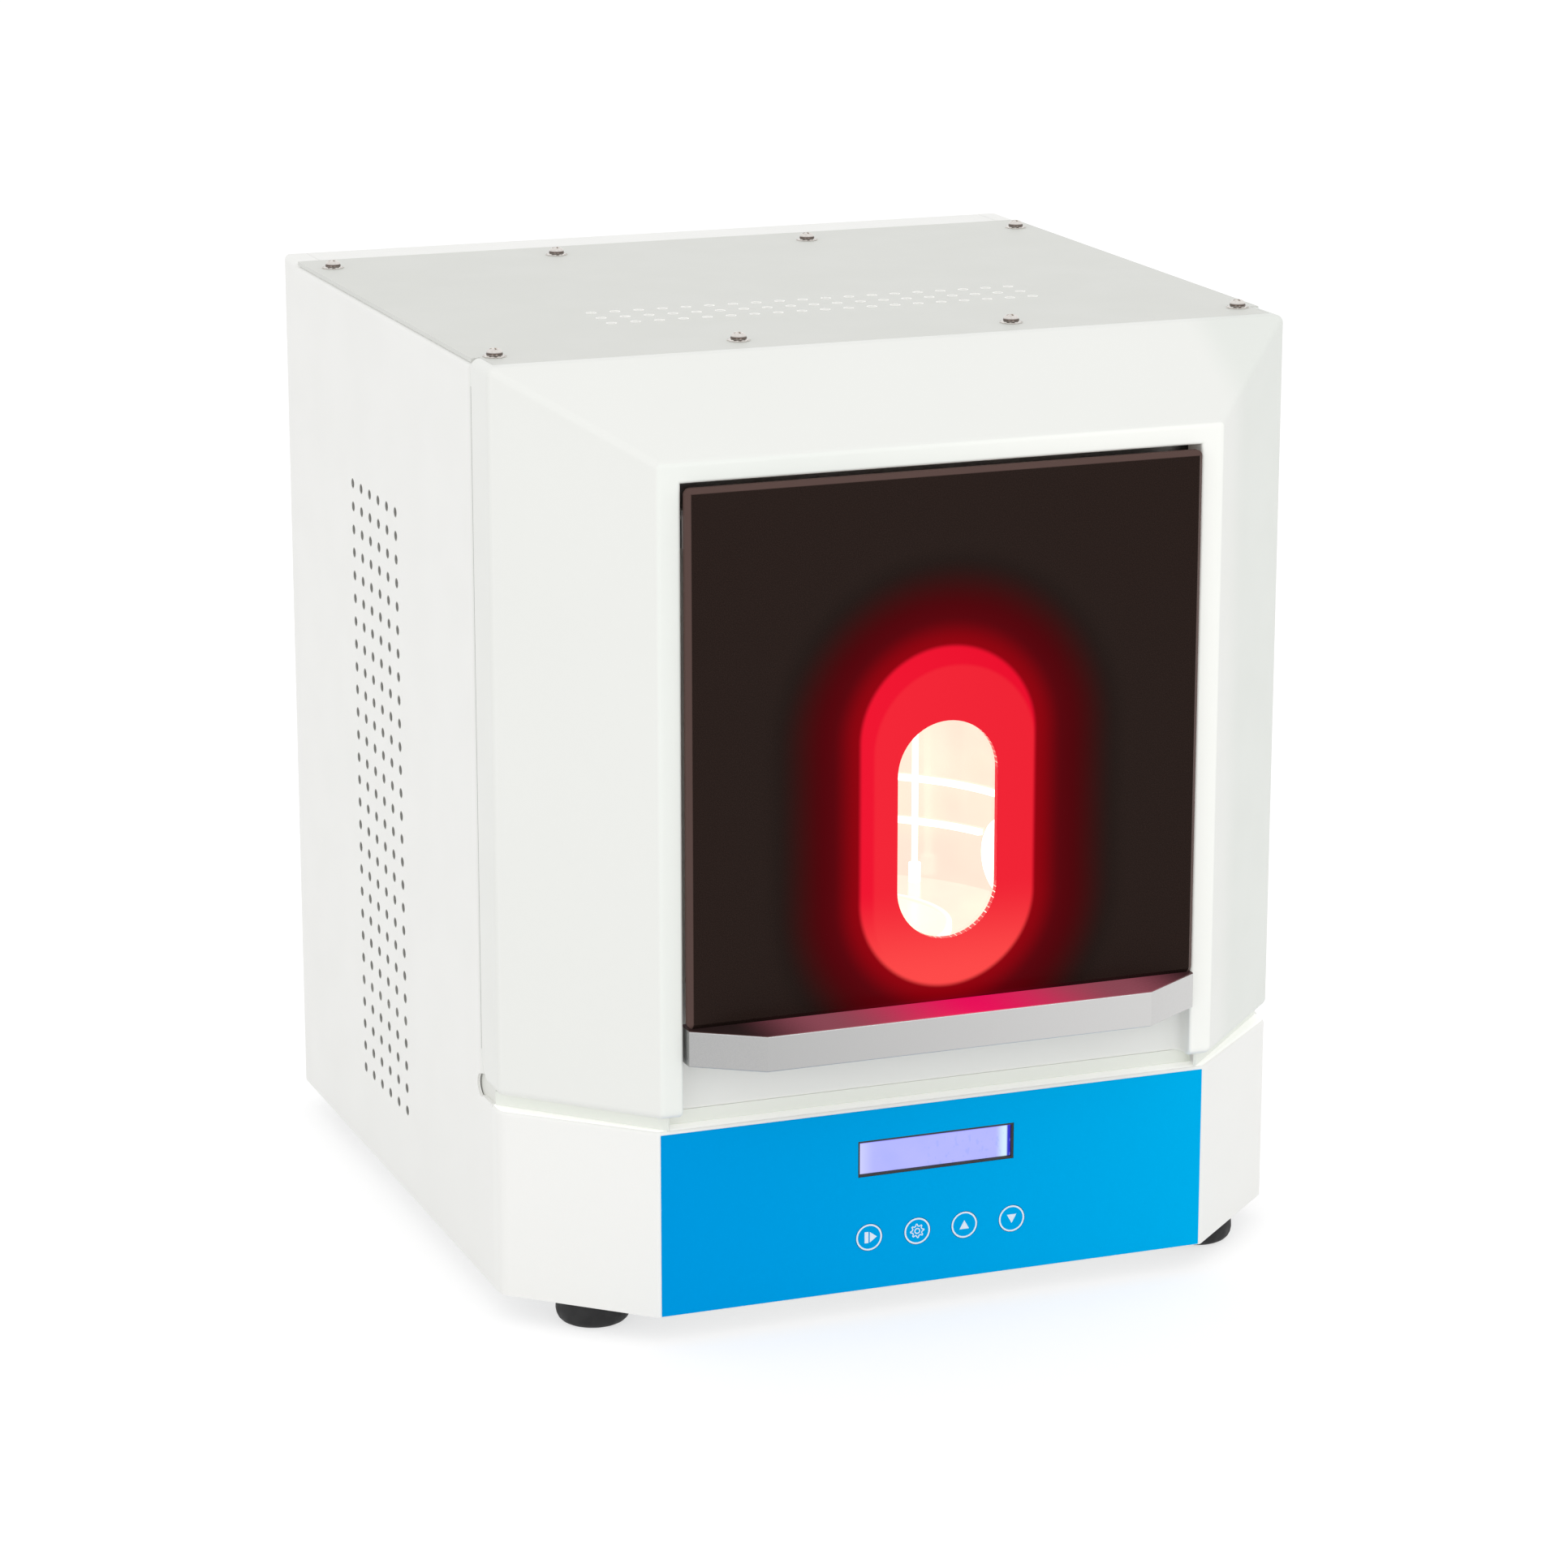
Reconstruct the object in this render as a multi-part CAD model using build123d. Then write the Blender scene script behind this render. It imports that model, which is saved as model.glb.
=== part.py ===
from build123d import *
import math
import os

# Bench-top light curing cabinet. Millimetres, +Z up, +Y to the back, +X to the right seen from
# the front. The origin is the middle of the object's box at the level that the feet stand on.

# ---------------------------------------------------------------- overall form
body_width = 400.0           # over the side panels
body_depth = 410.0           # face of the front bezel to the back panel
body_height = 446.0          # underside of the case to the top of the cover
foot_height = 13.0
handle_reach = 25.0          # handle front ahead of the bezel face
rear_reach = 5.0             # fan screw heads behind the back panel
sheet = 1.5                  # folded steel sheet of the case
seat_gap = 0.3               # gap left between pieces that only rest near each other
joint_gap = 0.2              # gap round a sheet that drops into a folded shell
over = 1.0                   # cutting solids reach this far past a face
bite = 0.5                   # solids of one piece overlap by this where they join
near = 0.05                  # tolerance for picking edges by their place

# ---------------------------------------------------------------- base
base_height = 92.0
base_facet = 60.0            # control face ends inside the side's face
base_set_back = 5.5          # control face behind the bezel face
base_wrap = 10.0             # side of the base front behind its corner bend
side_bend_radius = 9.0       # soft bend between a facet and the side
face_bend_radius = 2.5       # crisp bend at each end of the control face
base_edge_radius = 2.0
flange = 12.0                # folded flanges inside the case
deck_lap = 26.0              # deck sheet under the base front's top
cable_slot_half = 40.0
cable_slot_depth = 25.0
cable_slot_margin = 45.0     # deck left behind the cable slot

# ---------------------------------------------------------------- side panels and cover
seam = 1.5                   # open seam between bezel and side panels
side_edge_radius = 3.5
relief_radius = 5.5          # round corner relief under the bezel seam
relief_shift = 1.0           # relief centre behind the seam and below its own radius
cover_thickness = 2.0
cover_side_inset = 0.8       # cover edge inside the side panel's face
cover_front_inset = 5.0      # cover edge inside the bezel's sides
cover_front_lip = 6.0        # bezel top ahead of the cover
rear_rail = 27.0             # back panel's top flange behind the cover
cover_screw_inner = 69.0
cover_screw_side = 12.0      # outer screws inside the side's face
cover_screw_front = 20.0     # front screw row behind the cover's front edge
cover_screw_rear = 26.0      # rear screw row ahead of the cover's rear edge
cover_screw_hole = 2.2
screw_head_radius = 3.9
screw_head_height = 3.0
screw_crown = 1.2
screw_flange_radius = 5.6
screw_flange_height = 1.0

# ---------------------------------------------------------------- vent holes
vent_radius = 2.6            # six-sided punched holes, radius to a corner
side_vent_columns = 6
side_vent_rows = 27
side_vent_pitch_y = 14.8
side_vent_pitch_z = 11.75
side_vent_back = 123.0       # rearmost column ahead of the back panel
side_vent_bottom = 43.8      # lowest row above the underside of the case
top_vent_columns = 19
top_vent_rows = 3
top_vent_pitch_x = 12.1
top_vent_pitch_y = 15.2
top_vent_front = 92.0        # front row behind the bezel's rim

# ---------------------------------------------------------------- front bezel
bezel_wall = 3.0
bezel_facet = 60.0           # flat front ends inside the side's face
bezel_top_drop = 37.0        # flat front's top below the cover
bezel_slope_depth = 61.0     # bezel face ahead of its rim
bezel_return = 26.0          # side of the bezel behind its rim
bezel_gap = 7.0              # shadow gap above the base
bezel_edge_radius = 4.0
bezel_corner_radius = 15.0   # bottom rear corner of the bezel's sides
recess_margin = 11.0         # flat front beside the door recess
recess_depth = 12.0
recess_drop = 47.0           # top of the recess below the top of the cover
recess_corner_radius = 4.0
recess_edge_radius = 1.5
ledge_width = 19.0           # ledge at each side of the recess
ledge_bottom = 137.0         # doorway sill above the underside of the case
ledge_drop = 79.0            # ledges end this far below the cover and leave room for the hinge
boss_radius = 5.0
boss_hole = 1.6
boss_inset = 25.0            # screw bosses from the doorway's ends
side_boss_start = 2.0        # side bosses behind the bezel's rim

# ---------------------------------------------------------------- door
door_gap = 1.0               # door panel to the recess, each side
door_top_gap = 1.9           # door panel to the recess top, room for its corner to swing
panel_bottom = 143.0         # door panel's lower edge above the underside of the case
panel_thickness = 5.0
panel_bevel = 2.5
panel_corner_radius = 3.0
window_width = 50.0
window_height = 105.0
window_centre = 226.7        # above the underside of the case
light_width = 88.0           # stadium opening in the door's inner sheets
light_height = 164.0
light_centre = 233.0
frame_thickness = 6.0
frame_inset = 4.0            # door frame inside the panel's edges
frame_top_drop = 20.0        # door frame's top below the panel's top
liner_inset = 3.0            # door liner inside the doorway
liner_depth = 12.0
liner_wall = 1.2
liner_corner_radius = 8.0
liner_sill = 8.0             # liner above the doorway's sill
liner_drop = 75.0            # liner's top below the top of the cover
seal_width = 7.0
seal_inner_radius = 3.0
hinge_axis_back = 4.0        # hinge axis behind the bezel face
hinge_axis_drop = 14.0       # hinge axis below the panel's top
pin_radius = 1.6
running_gap = 0.05
bush_radius = 2.6
bush_length = 8.0
bush_wall = 1.3              # bezel boss round the bush
ear_radius = 4.0
ear_width = 7.0
ear_gap = 0.5
ear_length = 14.0

# ---------------------------------------------------------------- handle
handle_height = 17.5
handle_wall = 3.0
handle_end = 31.0            # length of the handle's angled ends along X
handle_edge_radius = 0.8
handle_screw_end = 7.0       # outer screws inside the handle's straight front
handle_screw_radius = 1.5
handle_screw_head = 3.0
handle_screw_head_height = 2.0
handle_screw_length = 8.0    # inside the door frame

# ---------------------------------------------------------------- door catch
magnet_radius = 5.0
catch_height = 2.5
catch_rise = 162.0          # above the underside of the case
catch_inset = 10.0           # from the side of the recess

# ---------------------------------------------------------------- chamber
chamber_front_back = 23.0    # chamber front sheet behind the bezel face
chamber_margin = 5.0         # chamber wall inside the doorway's side
chamber_straight = 110.5     # straight sides ahead of the round back
chamber_wall_thickness = 1.2
chamber_floor_rise = 137.0  # above the underside of the case
ceiling_drop = 60.0          # below the top of the cover
mouth_margin = 1.0           # mouth's side inside the chamber's side
mouth_sill = 6.0
front_sheet_drop = 39.0      # below the top of the cover
front_sheet_radius = 3.0
mouth_radius = 6.0
chamber_lap = 8.0            # floor and ceiling beyond the chamber's inside
pedestal_half = 70.0
pedestal_depth = 120.0
pedestal_foot = 14.0
band_lower_rise = 167.0      # lower light band above the underside of the case
band_spacing = 22.5          # from the lower band to the upper
band_height = 3.0
band_thickness = 2.5
band_start_gap = 3.0         # lower band behind the side lamps
tube_radius = 1.6
tube_angles = (45.0, 135.0)  # round the chamber's axis, from +X
tube_clip = 6.4              # tube's gap to the chamber wall
tube_cap_length = 10.0
tube_cap_rim = 1.5
lamp_radius = 21.0
lamp_thickness = 5.0
lamp_bevel = 1.5
lamp_rise = 160.5            # middle of the side lamps above the underside of the case
lamp_turn = 11.0             # lamps round the chamber's axis, from the sides to the back

# ---------------------------------------------------------------- turntable
table_margin = 49.0          # disc inside the chamber wall
table_thickness = 2.5
table_rim = 1.0
table_rim_width = 2.0
table_rim_slope = 1.0
table_gap = 2.0              # under the disc
shaft_radius = 4.0
hub_radius = 14.0
motor_radius = 28.0
motor_height = 24.0
motor_flange = 2.0
motor_ear = 6.0
motor_bevel = 1.5
motor_floor = 3.0            # motor left below the shaft's bore
shaft_end_gap = 1.0
gear_head_radius = 20.0
gear_head_gap = 1.0
floor_hole_radius = 9.0

# ---------------------------------------------------------------- control face
label_thickness = 0.5
label_inset = 1.4            # label's end inside the control face's bend
label_margin = 0.5           # label above the base's lower edge
lcd_width = 80.0
lcd_height = 18.0
lcd_rise = 66.0             # above the underside of the case
lcd_border = 2.0
lcd_depth = 1.6              # glass behind the control face
lcd_glass = 1.2
lcd_rim = 1.0                # frame over the glass, each side
key_x = (-34.3, -9.6, 14.7, 39.3)
key_names = ("key_run", "key_settings", "key_up", "key_down")
key_radius = 6.6
key_clearance = 0.3
key_rise = 26.5             # above the underside of the case
key_travel = 0.8
key_flange_radius = 8.6
key_flange = 1.0
key_stem_radius = 2.4
switch_size = 6.2
switch_height = 3.2
board_back = 9.5             # board face behind the control face
board_width = 118.0
board_bottom = 10.0          # above the underside of the case
board_top = 80.0
board_thickness = 1.6
stud_radius = 3.0
stud_inset = 6.0

# ---------------------------------------------------------------- back panel
back_edge_inset = 4.0
back_bend_radius = 2.0
fan_size = 92.0
fan_depth = 25.0
fan_rise = 290.0            # above the underside of the case
fan_bore = 43.0
fan_corner_radius = 5.0
fan_arm_depth = 4.0
fan_arm_half = 2.0
fan_arm_turns = (45, 135, 225, 315)
fan_socket_floor = 1.0       # housing left under the spindle's bore
fan_hub_radius = 17.0
fan_blade_tip = 41.5
fan_blades = 7
fan_blade_thickness = 1.6
fan_blade_twist = 32.0
fan_blade_margin = 1.5       # hub beyond the blades, each end
fan_blade_root = 1.5         # blade inside the hub
fan_root_share = 0.8         # blade's depth at the root as a share of the tip's
rotor_gap = 0.5
rotor_rear_gap = 1.5
fan_screw_half = 41.25
fan_screw_radius = 2.1
fan_screw_head = 3.8
fan_screw_crown = 1.0
fan_screw_length = 12.0      # ahead of the back panel
fan_spindle_radius = 2.0
guard_thickness = 2.0
guard_bars = (14.0, 24.0, 34.0, 44.0)
guard_bar_width = 1.8
guard_arm_width = 3.0
guard_arm_turns = (45, 135)
guard_eye_radius = 5.0
power_rise = 50.0           # inlet and switch above the underside of the case
inlet_side = 70.0            # inlet inside the side's face
inlet_width = 28.0
inlet_height = 20.0
inlet_flange_width = 50.0
inlet_flange_height = 24.0
inlet_flange = 2.5
inlet_depth = 18.0
inlet_wall = 1.8
inlet_floor = 2.0
inlet_chamfer = 4.0
inlet_corner_radius = 5.0
inlet_screw_x = 20.0
inlet_screw_radius = 1.7
inlet_pin_spread = 7.0
inlet_pin_rise = 2.0
inlet_pin_width = 4.0
inlet_pin_thickness = 2.0
inlet_pin_length = 14.0
switch_spacing = 45.0        # from the inlet
switch_wall = 1.4
rocker_radius = 9.6
rocker_width = 12.0
rocker_tilt = 12.0
rocker_valley = 2.0
rocker_clearance = 0.5
rocker_axis_depth = 1.0      # rocker axis inside the back panel's face
rocker_pin_radius = 1.2
switch_flange = 1.5
switch_flange_rim = 2.2
switch_floor = 2.0

# ---------------------------------------------------------------- inside the base
supply_width = 99.0
supply_depth = 150.0
supply_height = 40.0
supply_side = 60.5           # cage inside the side's face
supply_from_back = 35.0
supply_sheet = 1.2
supply_edge_radius = 1.5
supply_terminal_depth = 18.0
supply_terminal_rise = 12.0

# ---------------------------------------------------------------- feet
foot_radius = 18.0
foot_sole_radius = 14.0
foot_belly = 5.85            # widest ring above the sole
foot_round = (2.4, 1.2)      # middle of the round edge, out and up from the sole's rim
foot_draft = 1.0
foot_side = 42.0             # inside the side's face
foot_front = 49.0            # front feet behind the bezel face
foot_rear = 45.0             # rear feet ahead of the back panel
foot_screw_radius = 2.5
foot_counterbore = 5.0
foot_screw_seat = 5.0        # screw's seat below the pan
foot_screw_head = 4.0
foot_screw_head_height = 3.0
foot_screw_reach = 3.0       # screw above the pan

# ---------------------------------------------------------------- places worked out from these
half_width = body_width / 2
base_face_half = half_width - base_facet
bezel_face_half = half_width - bezel_facet
recess_half = bezel_face_half - recess_margin
total_depth = handle_reach + body_depth + rear_reach
handle_front_y = -total_depth / 2
bezel_face_y = handle_front_y + handle_reach
back_y = bezel_face_y + body_depth
back_inner_y = back_y - sheet
case_z = foot_height
top_z = case_z + body_height
cover_seat_z = top_z - cover_thickness
rim_y = bezel_face_y + bezel_slope_depth
side_front_y = rim_y + bezel_return
bezel_back_y = side_front_y - seam
base_top_z = case_z + base_height
base_face_y = bezel_face_y + base_set_back
base_back_y = rim_y + base_wrap
bezel_bottom_z = base_top_z + bezel_gap
recess_y = bezel_face_y + recess_depth
recess_top_z = top_z - recess_drop
ledge_bottom_z = case_z + ledge_bottom
ledge_top_z = top_z - ledge_drop
doorway_half = recess_half - ledge_width
cover_front_y = rim_y + cover_front_lip
cover_rear_y = back_y - rear_rail
pan_z = case_z + sheet
pan_top_z = pan_z + sheet
deck_top_z = base_top_z - sheet

panel_back_y = bezel_face_y
panel_front_y = panel_back_y - panel_thickness
panel_half = recess_half - door_gap
panel_bottom_z = case_z + panel_bottom
panel_top_z = recess_top_z - door_top_gap
frame_back_y = panel_back_y + frame_thickness
frame_half = panel_half - frame_inset
frame_top_z = panel_top_z - frame_top_drop
liner_half = doorway_half - liner_inset
liner_back_y = frame_back_y + liner_depth
liner_bottom_z = ledge_bottom_z + liner_sill
liner_top_z = top_z - liner_drop
window_z = case_z + window_centre
light_z = case_z + light_centre
axis_y = bezel_face_y + hinge_axis_back
axis_z = panel_top_z - hinge_axis_drop
ear_outer_x = recess_half - ear_gap

front_sheet_y = bezel_face_y + chamber_front_back
chamber_y = front_sheet_y + sheet
seal_back_y = front_sheet_y - seat_gap
chamber_radius = doorway_half - chamber_margin
mouth_half = chamber_radius - mouth_margin
table_radius = chamber_radius - table_margin
chamber_axis_y = chamber_y + chamber_straight
floor_z = case_z + chamber_floor_rise
ceiling_z = top_z - ceiling_drop
wall_bottom_z = floor_z + sheet
wall_top_z = ceiling_z - sheet
mouth_bottom_z = floor_z + mouth_sill
mouth_top_z = ceiling_z - mouth_sill
table_z = wall_bottom_z + table_gap

lcd_z = case_z + lcd_rise
key_z = case_z + key_rise
control_face_y = base_face_y - label_thickness
board_y = base_face_y + board_back
face_inner_y = base_face_y + sheet
fan_z = case_z + fan_rise
fan_front_y = back_inner_y - fan_depth
power_z = case_z + power_rise
inlet_x = half_width - inlet_side
switch_x = inlet_x - switch_spacing
handle_flat_half = panel_half - handle_end
rocker_y = back_y - rocker_axis_depth


# ---------------------------------------------------------------- small helpers
def block(x0, x1, y0, y1, z0, z1):
    """Box between two corners."""
    centre = Pos((x0 + x1) / 2, (y0 + y1) / 2, (z0 + z1) / 2)
    return centre * Box(x1 - x0, y1 - y0, z1 - z0)


def rod_x(y, z, radius, x0, x1):
    return Pos((x0 + x1) / 2, y, z) * Rot(0, 90, 0) * Cylinder(radius, x1 - x0)


def rod_y(x, z, radius, y0, y1):
    return Pos(x, (y0 + y1) / 2, z) * Rot(90, 0, 0) * Cylinder(radius, y1 - y0)


def rod_z(x, y, radius, z0, z1):
    return Pos(x, y, (z0 + z1) / 2) * Cylinder(radius, z1 - z0)


def outline(points):
    return make_face(Polyline(*points, close=True))


def prism_x(points, x0, x1):
    """Solid between x0 and x1 from an outline of (y, z) points."""
    return extrude(Plane.YZ.offset(x0) * outline(points), amount=x1 - x0)


def prism_y(points, y0, y1):
    """Solid between y0 and y1 from an outline of (x, z) points."""
    return extrude(Plane.XZ.offset(-y1) * outline(points), amount=y1 - y0)


def prism_z(points, z0, z1):
    """Solid between z0 and z1 from an outline of (x, y) points."""
    return extrude(Plane.XY.offset(z0) * outline(points), amount=z1 - z0)


def stadium_y(width, height, z, y0, y1):
    """Upright round-ended solid on the middle plane, along Y."""
    shape = Rot(0, 0, 90) * SlotOverall(height, width)
    return extrude(Plane.XZ.offset(-y1) * Pos(0, z) * shape, amount=y1 - y0)


def edges_along(shape, axis):
    return shape.edges().filter_by(axis)


def write(name, shape):
    export_step(shape, f"parts/{name}.step")


def mirrored(shape):
    return mirror(shape, about=Plane.YZ)


# ---------------------------------------------------------------- base shell
def base_points(inset, back_y):
    """Faceted plan of the base, its walls moved in by inset, closed along back_y."""
    run = base_face_half - half_width
    rise = base_face_y - rim_y
    slope = math.hypot(run, rise)
    side_x = half_width - inset
    face_y = base_face_y + inset
    shift = inset * slope / abs(rise)
    corner_y = rim_y + (side_x - half_width + shift) * rise / run
    face_x = half_width - shift + (face_y - rim_y) * run / rise
    return [
        (-side_x, back_y), (-side_x, corner_y), (-face_x, face_y),
        (face_x, face_y), (side_x, corner_y), (side_x, back_y),
    ]


def base_solid(inset, back_y, z0, z1):
    """Base block with its upright bends, open along back_y."""
    solid = prism_z(base_points(inset, back_y), z0, z1)
    middle_y = (base_face_y + rim_y) / 2
    uprights = [e for e in edges_along(solid, Axis.Z) if e.center().Y < back_y - near]
    solid = fillet([e for e in uprights if e.center().Y > middle_y], side_bend_radius - inset)
    uprights = edges_along(solid, Axis.Z)
    face_bends = [
        e for e in uprights
        if e.center().Y < middle_y and abs(e.center().Y - base_face_y - inset) < near
    ]
    return fillet(face_bends, face_bend_radius - inset)


def make_base_front():
    outer = base_solid(0.0, base_back_y, case_z, base_top_z)
    top_edges = [
        e for e in outer.edges()
        if abs(e.center().Z - base_top_z) < near and e.center().Y < base_back_y - near
    ]
    outer = fillet(top_edges, base_edge_radius)
    inner = base_solid(sheet, base_back_y + over, case_z - over, deck_top_z)
    shell = outer - inner
    stud_reach = board_width / 2 - stud_inset
    for x in (-stud_reach, stud_reach):
        for z in (case_z + board_bottom + stud_inset, case_z + board_top - stud_inset):
            shell += rod_y(x, z, stud_radius, face_inner_y - bite, board_y)
    opening_half = lcd_width / 2 + lcd_border
    opening_rise = lcd_height / 2 + lcd_border
    shell -= block(-opening_half, opening_half, base_face_y - over, face_inner_y + over,
                   lcd_z - opening_rise, lcd_z + opening_rise)
    for x in key_x:
        shell -= rod_y(x, key_z, key_radius + key_clearance, base_face_y - over,
                       face_inner_y + over)
    return shell


def make_base_pan():
    """Bottom sheet that lies on the side panels' flanges."""
    inset = sheet + joint_gap
    pan = base_solid(inset, back_inner_y - sheet - joint_gap, pan_z, pan_top_z)
    for x, y in foot_places():
        pan -= rod_z(x, y, foot_screw_radius, pan_z - over, pan_top_z + over)
    return pan


def make_deck():
    """Sheet between the base and the chamber, lapped under the base front's top."""
    inset = sheet + joint_gap
    rear = back_inner_y - sheet - joint_gap
    plan = base_solid(inset, rear, deck_top_z - sheet, deck_top_z)
    front_cut = base_back_y - deck_lap
    deck = plan - block(-body_width, body_width, -body_depth, front_cut, 0, top_z)
    slot_rear = rear - cable_slot_margin
    return deck - block(-cable_slot_half, cable_slot_half, slot_rear - cable_slot_depth,
                        slot_rear, 0, top_z)


# ---------------------------------------------------------------- case panels
def side_profile(inset):
    """Side view of a side panel as (y, z) points, moved in by inset, plain beside the base."""
    low_front = base_back_y - inset
    front = side_front_y + inset
    rear = back_inner_y - inset
    return [
        (low_front, case_z + inset), (low_front, base_top_z - inset),
        (front, base_top_z - inset), (front, cover_seat_z - inset),
        (cover_rear_y + inset, cover_seat_z - inset), (cover_rear_y + inset, top_z - inset),
        (rear, top_z - inset), (rear, case_z + inset),
    ]


def vent_prism(direction_plane, length):
    return extrude(direction_plane * RegularPolygon(vent_radius, 6), amount=length, both=True)


def make_side_panel():
    """Right side panel: a tray folded from one sheet, open to the inside."""
    tray = prism_x(side_profile(0.0), half_width - flange, half_width)
    outer_face = tray.faces().sort_by(Axis.X)[-1]
    kept = [
        e for e in outer_face.edges()
        if e.center().Y > side_front_y - near and e.center().Z > base_top_z
    ]
    tray = fillet(kept, side_edge_radius)
    tray -= prism_x(side_profile(sheet), half_width - flange - over, half_width - sheet)
    relief = rod_x(side_front_y + relief_shift, base_top_z + relief_radius - relief_shift,
                   relief_radius, half_width - flange - over, half_width + over)
    tray -= relief
    plane = Plane(origin=(half_width, 0, 0), x_dir=(0, 1, 0), z_dir=(1, 0, 0))
    hole = vent_prism(plane, 2 * sheet)
    last_column = back_y - side_vent_back
    holes = []
    for column in range(side_vent_columns):
        for row in range(side_vent_rows):
            y = last_column - column * side_vent_pitch_y
            z = case_z + side_vent_bottom + row * side_vent_pitch_z
            holes.append(Pos(0, y, z) * hole)
    return tray - holes


def make_back_panel():
    """Back sheet with a flange that carries the rear strip of the top."""
    edge = half_width - back_edge_inset
    inner = half_width - flange - joint_gap
    upper_z = top_z - back_edge_inset
    panel = block(-edge, edge, back_inner_y, back_y, case_z + back_edge_inset, upper_z)
    panel = fillet(edges_along(panel, Axis.Y), side_edge_radius)
    bend = [
        (cover_rear_y, top_z - sheet), (back_inner_y, top_z - sheet),
        (back_inner_y, upper_z - side_edge_radius), (back_y, upper_z - side_edge_radius),
        (back_y, top_z), (cover_rear_y, top_z),
    ]
    rail = prism_x(bend, -inner, inner)
    outer_bend = [e for e in edges_along(rail, Axis.X).sort_by(Axis.Z)[-2:]
                  if e.center().Y > back_inner_y]
    panel += fillet(outer_bend, back_bend_radius)
    panel -= rod_y(0, fan_z, fan_bore, back_inner_y - over, back_y + over)
    for x, z in fan_screw_places():
        panel -= rod_y(x, z, fan_screw_radius, back_inner_y - over, back_y + over)
    panel -= block(inlet_x - inlet_width / 2, inlet_x + inlet_width / 2, back_inner_y - over,
                   back_y + over, power_z - inlet_height / 2, power_z + inlet_height / 2)
    half, rise = switch_body_size()
    panel -= block(switch_x - half, switch_x + half, back_inner_y - over, back_y + over,
                   power_z - rise, power_z + rise)
    return panel


def cover_outline():
    wide = half_width - cover_side_inset
    narrow = half_width - cover_front_inset
    front = cover_front_y + joint_gap
    rear = cover_rear_y - joint_gap
    return [
        (-wide, rear), (-wide, side_front_y), (-narrow, side_front_y), (-narrow, front),
        (narrow, front), (narrow, side_front_y), (wide, side_front_y), (wide, rear),
    ]


def cover_screw_places():
    rows = (cover_front_y + cover_screw_front, cover_rear_y - cover_screw_rear)
    columns = (cover_screw_inner, half_width - cover_screw_side)
    return [(side * x, y) for y in rows for x in columns for side in (-1, 1)]


def make_top_cover():
    cover = prism_z(cover_outline(), cover_seat_z, top_z)
    for x, y in cover_screw_places():
        cover -= rod_z(x, y, cover_screw_hole, cover_seat_z - over, top_z + over)
    hole = vent_prism(Plane.XY.offset(top_z), 2 * cover_thickness)
    first_row = rim_y + top_vent_front
    holes = []
    for row in range(top_vent_rows):
        for column in range(top_vent_columns):
            x = (column - (top_vent_columns - 1) / 2) * top_vent_pitch_x
            holes.append(Pos(x, first_row + row * top_vent_pitch_y, 0) * hole)
    return cover - holes


def make_cover_screw(x, y):
    """Pan head screw with a thin flange under its head."""
    head = rod_z(x, y, screw_head_radius, top_z + screw_flange_height,
                 top_z + screw_flange_height + screw_head_height)
    crown = head.edges().filter_by(GeomType.CIRCLE).sort_by(Axis.Z)[-1]
    head = chamfer(crown, screw_crown)
    ring = rod_z(x, y, screw_flange_radius, top_z, top_z + screw_flange_height)
    shank = rod_z(x, y, cover_screw_hole - joint_gap, cover_seat_z, top_z + screw_flange_height)
    return head + ring + shank


# ---------------------------------------------------------------- front bezel
def bezel_form(inset, back_y, bottom_z):
    """Hipped block: a flat front with facets to the sides and the top."""
    half_slope = math.hypot(half_width - bezel_face_half, bezel_slope_depth)
    shift = inset * half_slope / bezel_slope_depth
    side_run = (half_width - bezel_face_half) / bezel_slope_depth
    front_y = bezel_face_y + inset
    side_x = half_width - inset
    rim_x = half_width - shift
    bend_y = rim_y + (side_x - rim_x) / side_run
    face_x = rim_x - (rim_y - front_y) * side_run
    plan = [
        (-side_x, back_y), (-side_x, bend_y), (-face_x, front_y),
        (face_x, front_y), (side_x, bend_y), (side_x, back_y),
    ]
    top_run = bezel_top_drop / bezel_slope_depth
    top_shift = inset * math.hypot(1.0, top_run)
    roof_z = top_z - inset
    roof_y = rim_y + (roof_z - (top_z - top_shift)) / top_run
    face_z = top_z - top_shift - (rim_y - front_y) * top_run
    side_view = [
        (back_y, bottom_z), (front_y, bottom_z), (front_y, face_z), (roof_y, roof_z),
        (back_y, roof_z),
    ]
    return prism_z(plan, bottom_z, top_z) & prism_x(side_view, -half_width, half_width)


def make_bezel_block():
    """Outer form of the bezel with soft edges, round lower rear corners and the door recess."""
    form = bezel_form(0.0, bezel_back_y, bezel_bottom_z)
    form = fillet([e for e in form.edges() if e.center().Y < bezel_back_y - near],
                  bezel_edge_radius)
    corner_y = bezel_back_y - bezel_corner_radius
    corner_z = bezel_bottom_z + bezel_corner_radius
    corner = block(-half_width, half_width, corner_y, bezel_back_y, bezel_bottom_z, corner_z)
    form -= corner - rod_x(corner_y, corner_z, bezel_corner_radius, -half_width, half_width)
    recess = block(-recess_half, recess_half, bezel_face_y, recess_y, bezel_bottom_z,
                   recess_top_z)
    back_corners = [e for e in edges_along(recess, Axis.Z) if e.center().Y > recess_y - near]
    form -= fillet(back_corners, recess_corner_radius)
    lips = []
    for edge in form.edges():
        middle = edge.center()
        beside = abs(abs(middle.X) - recess_half) < near
        upright = beside and middle.Y < bezel_face_y + bezel_edge_radius
        above = abs(middle.Z - recess_top_z) < near and abs(middle.Y - bezel_face_y) < near
        if upright or above:
            lips.append(edge)
    return fillet(lips, recess_edge_radius)


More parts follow.
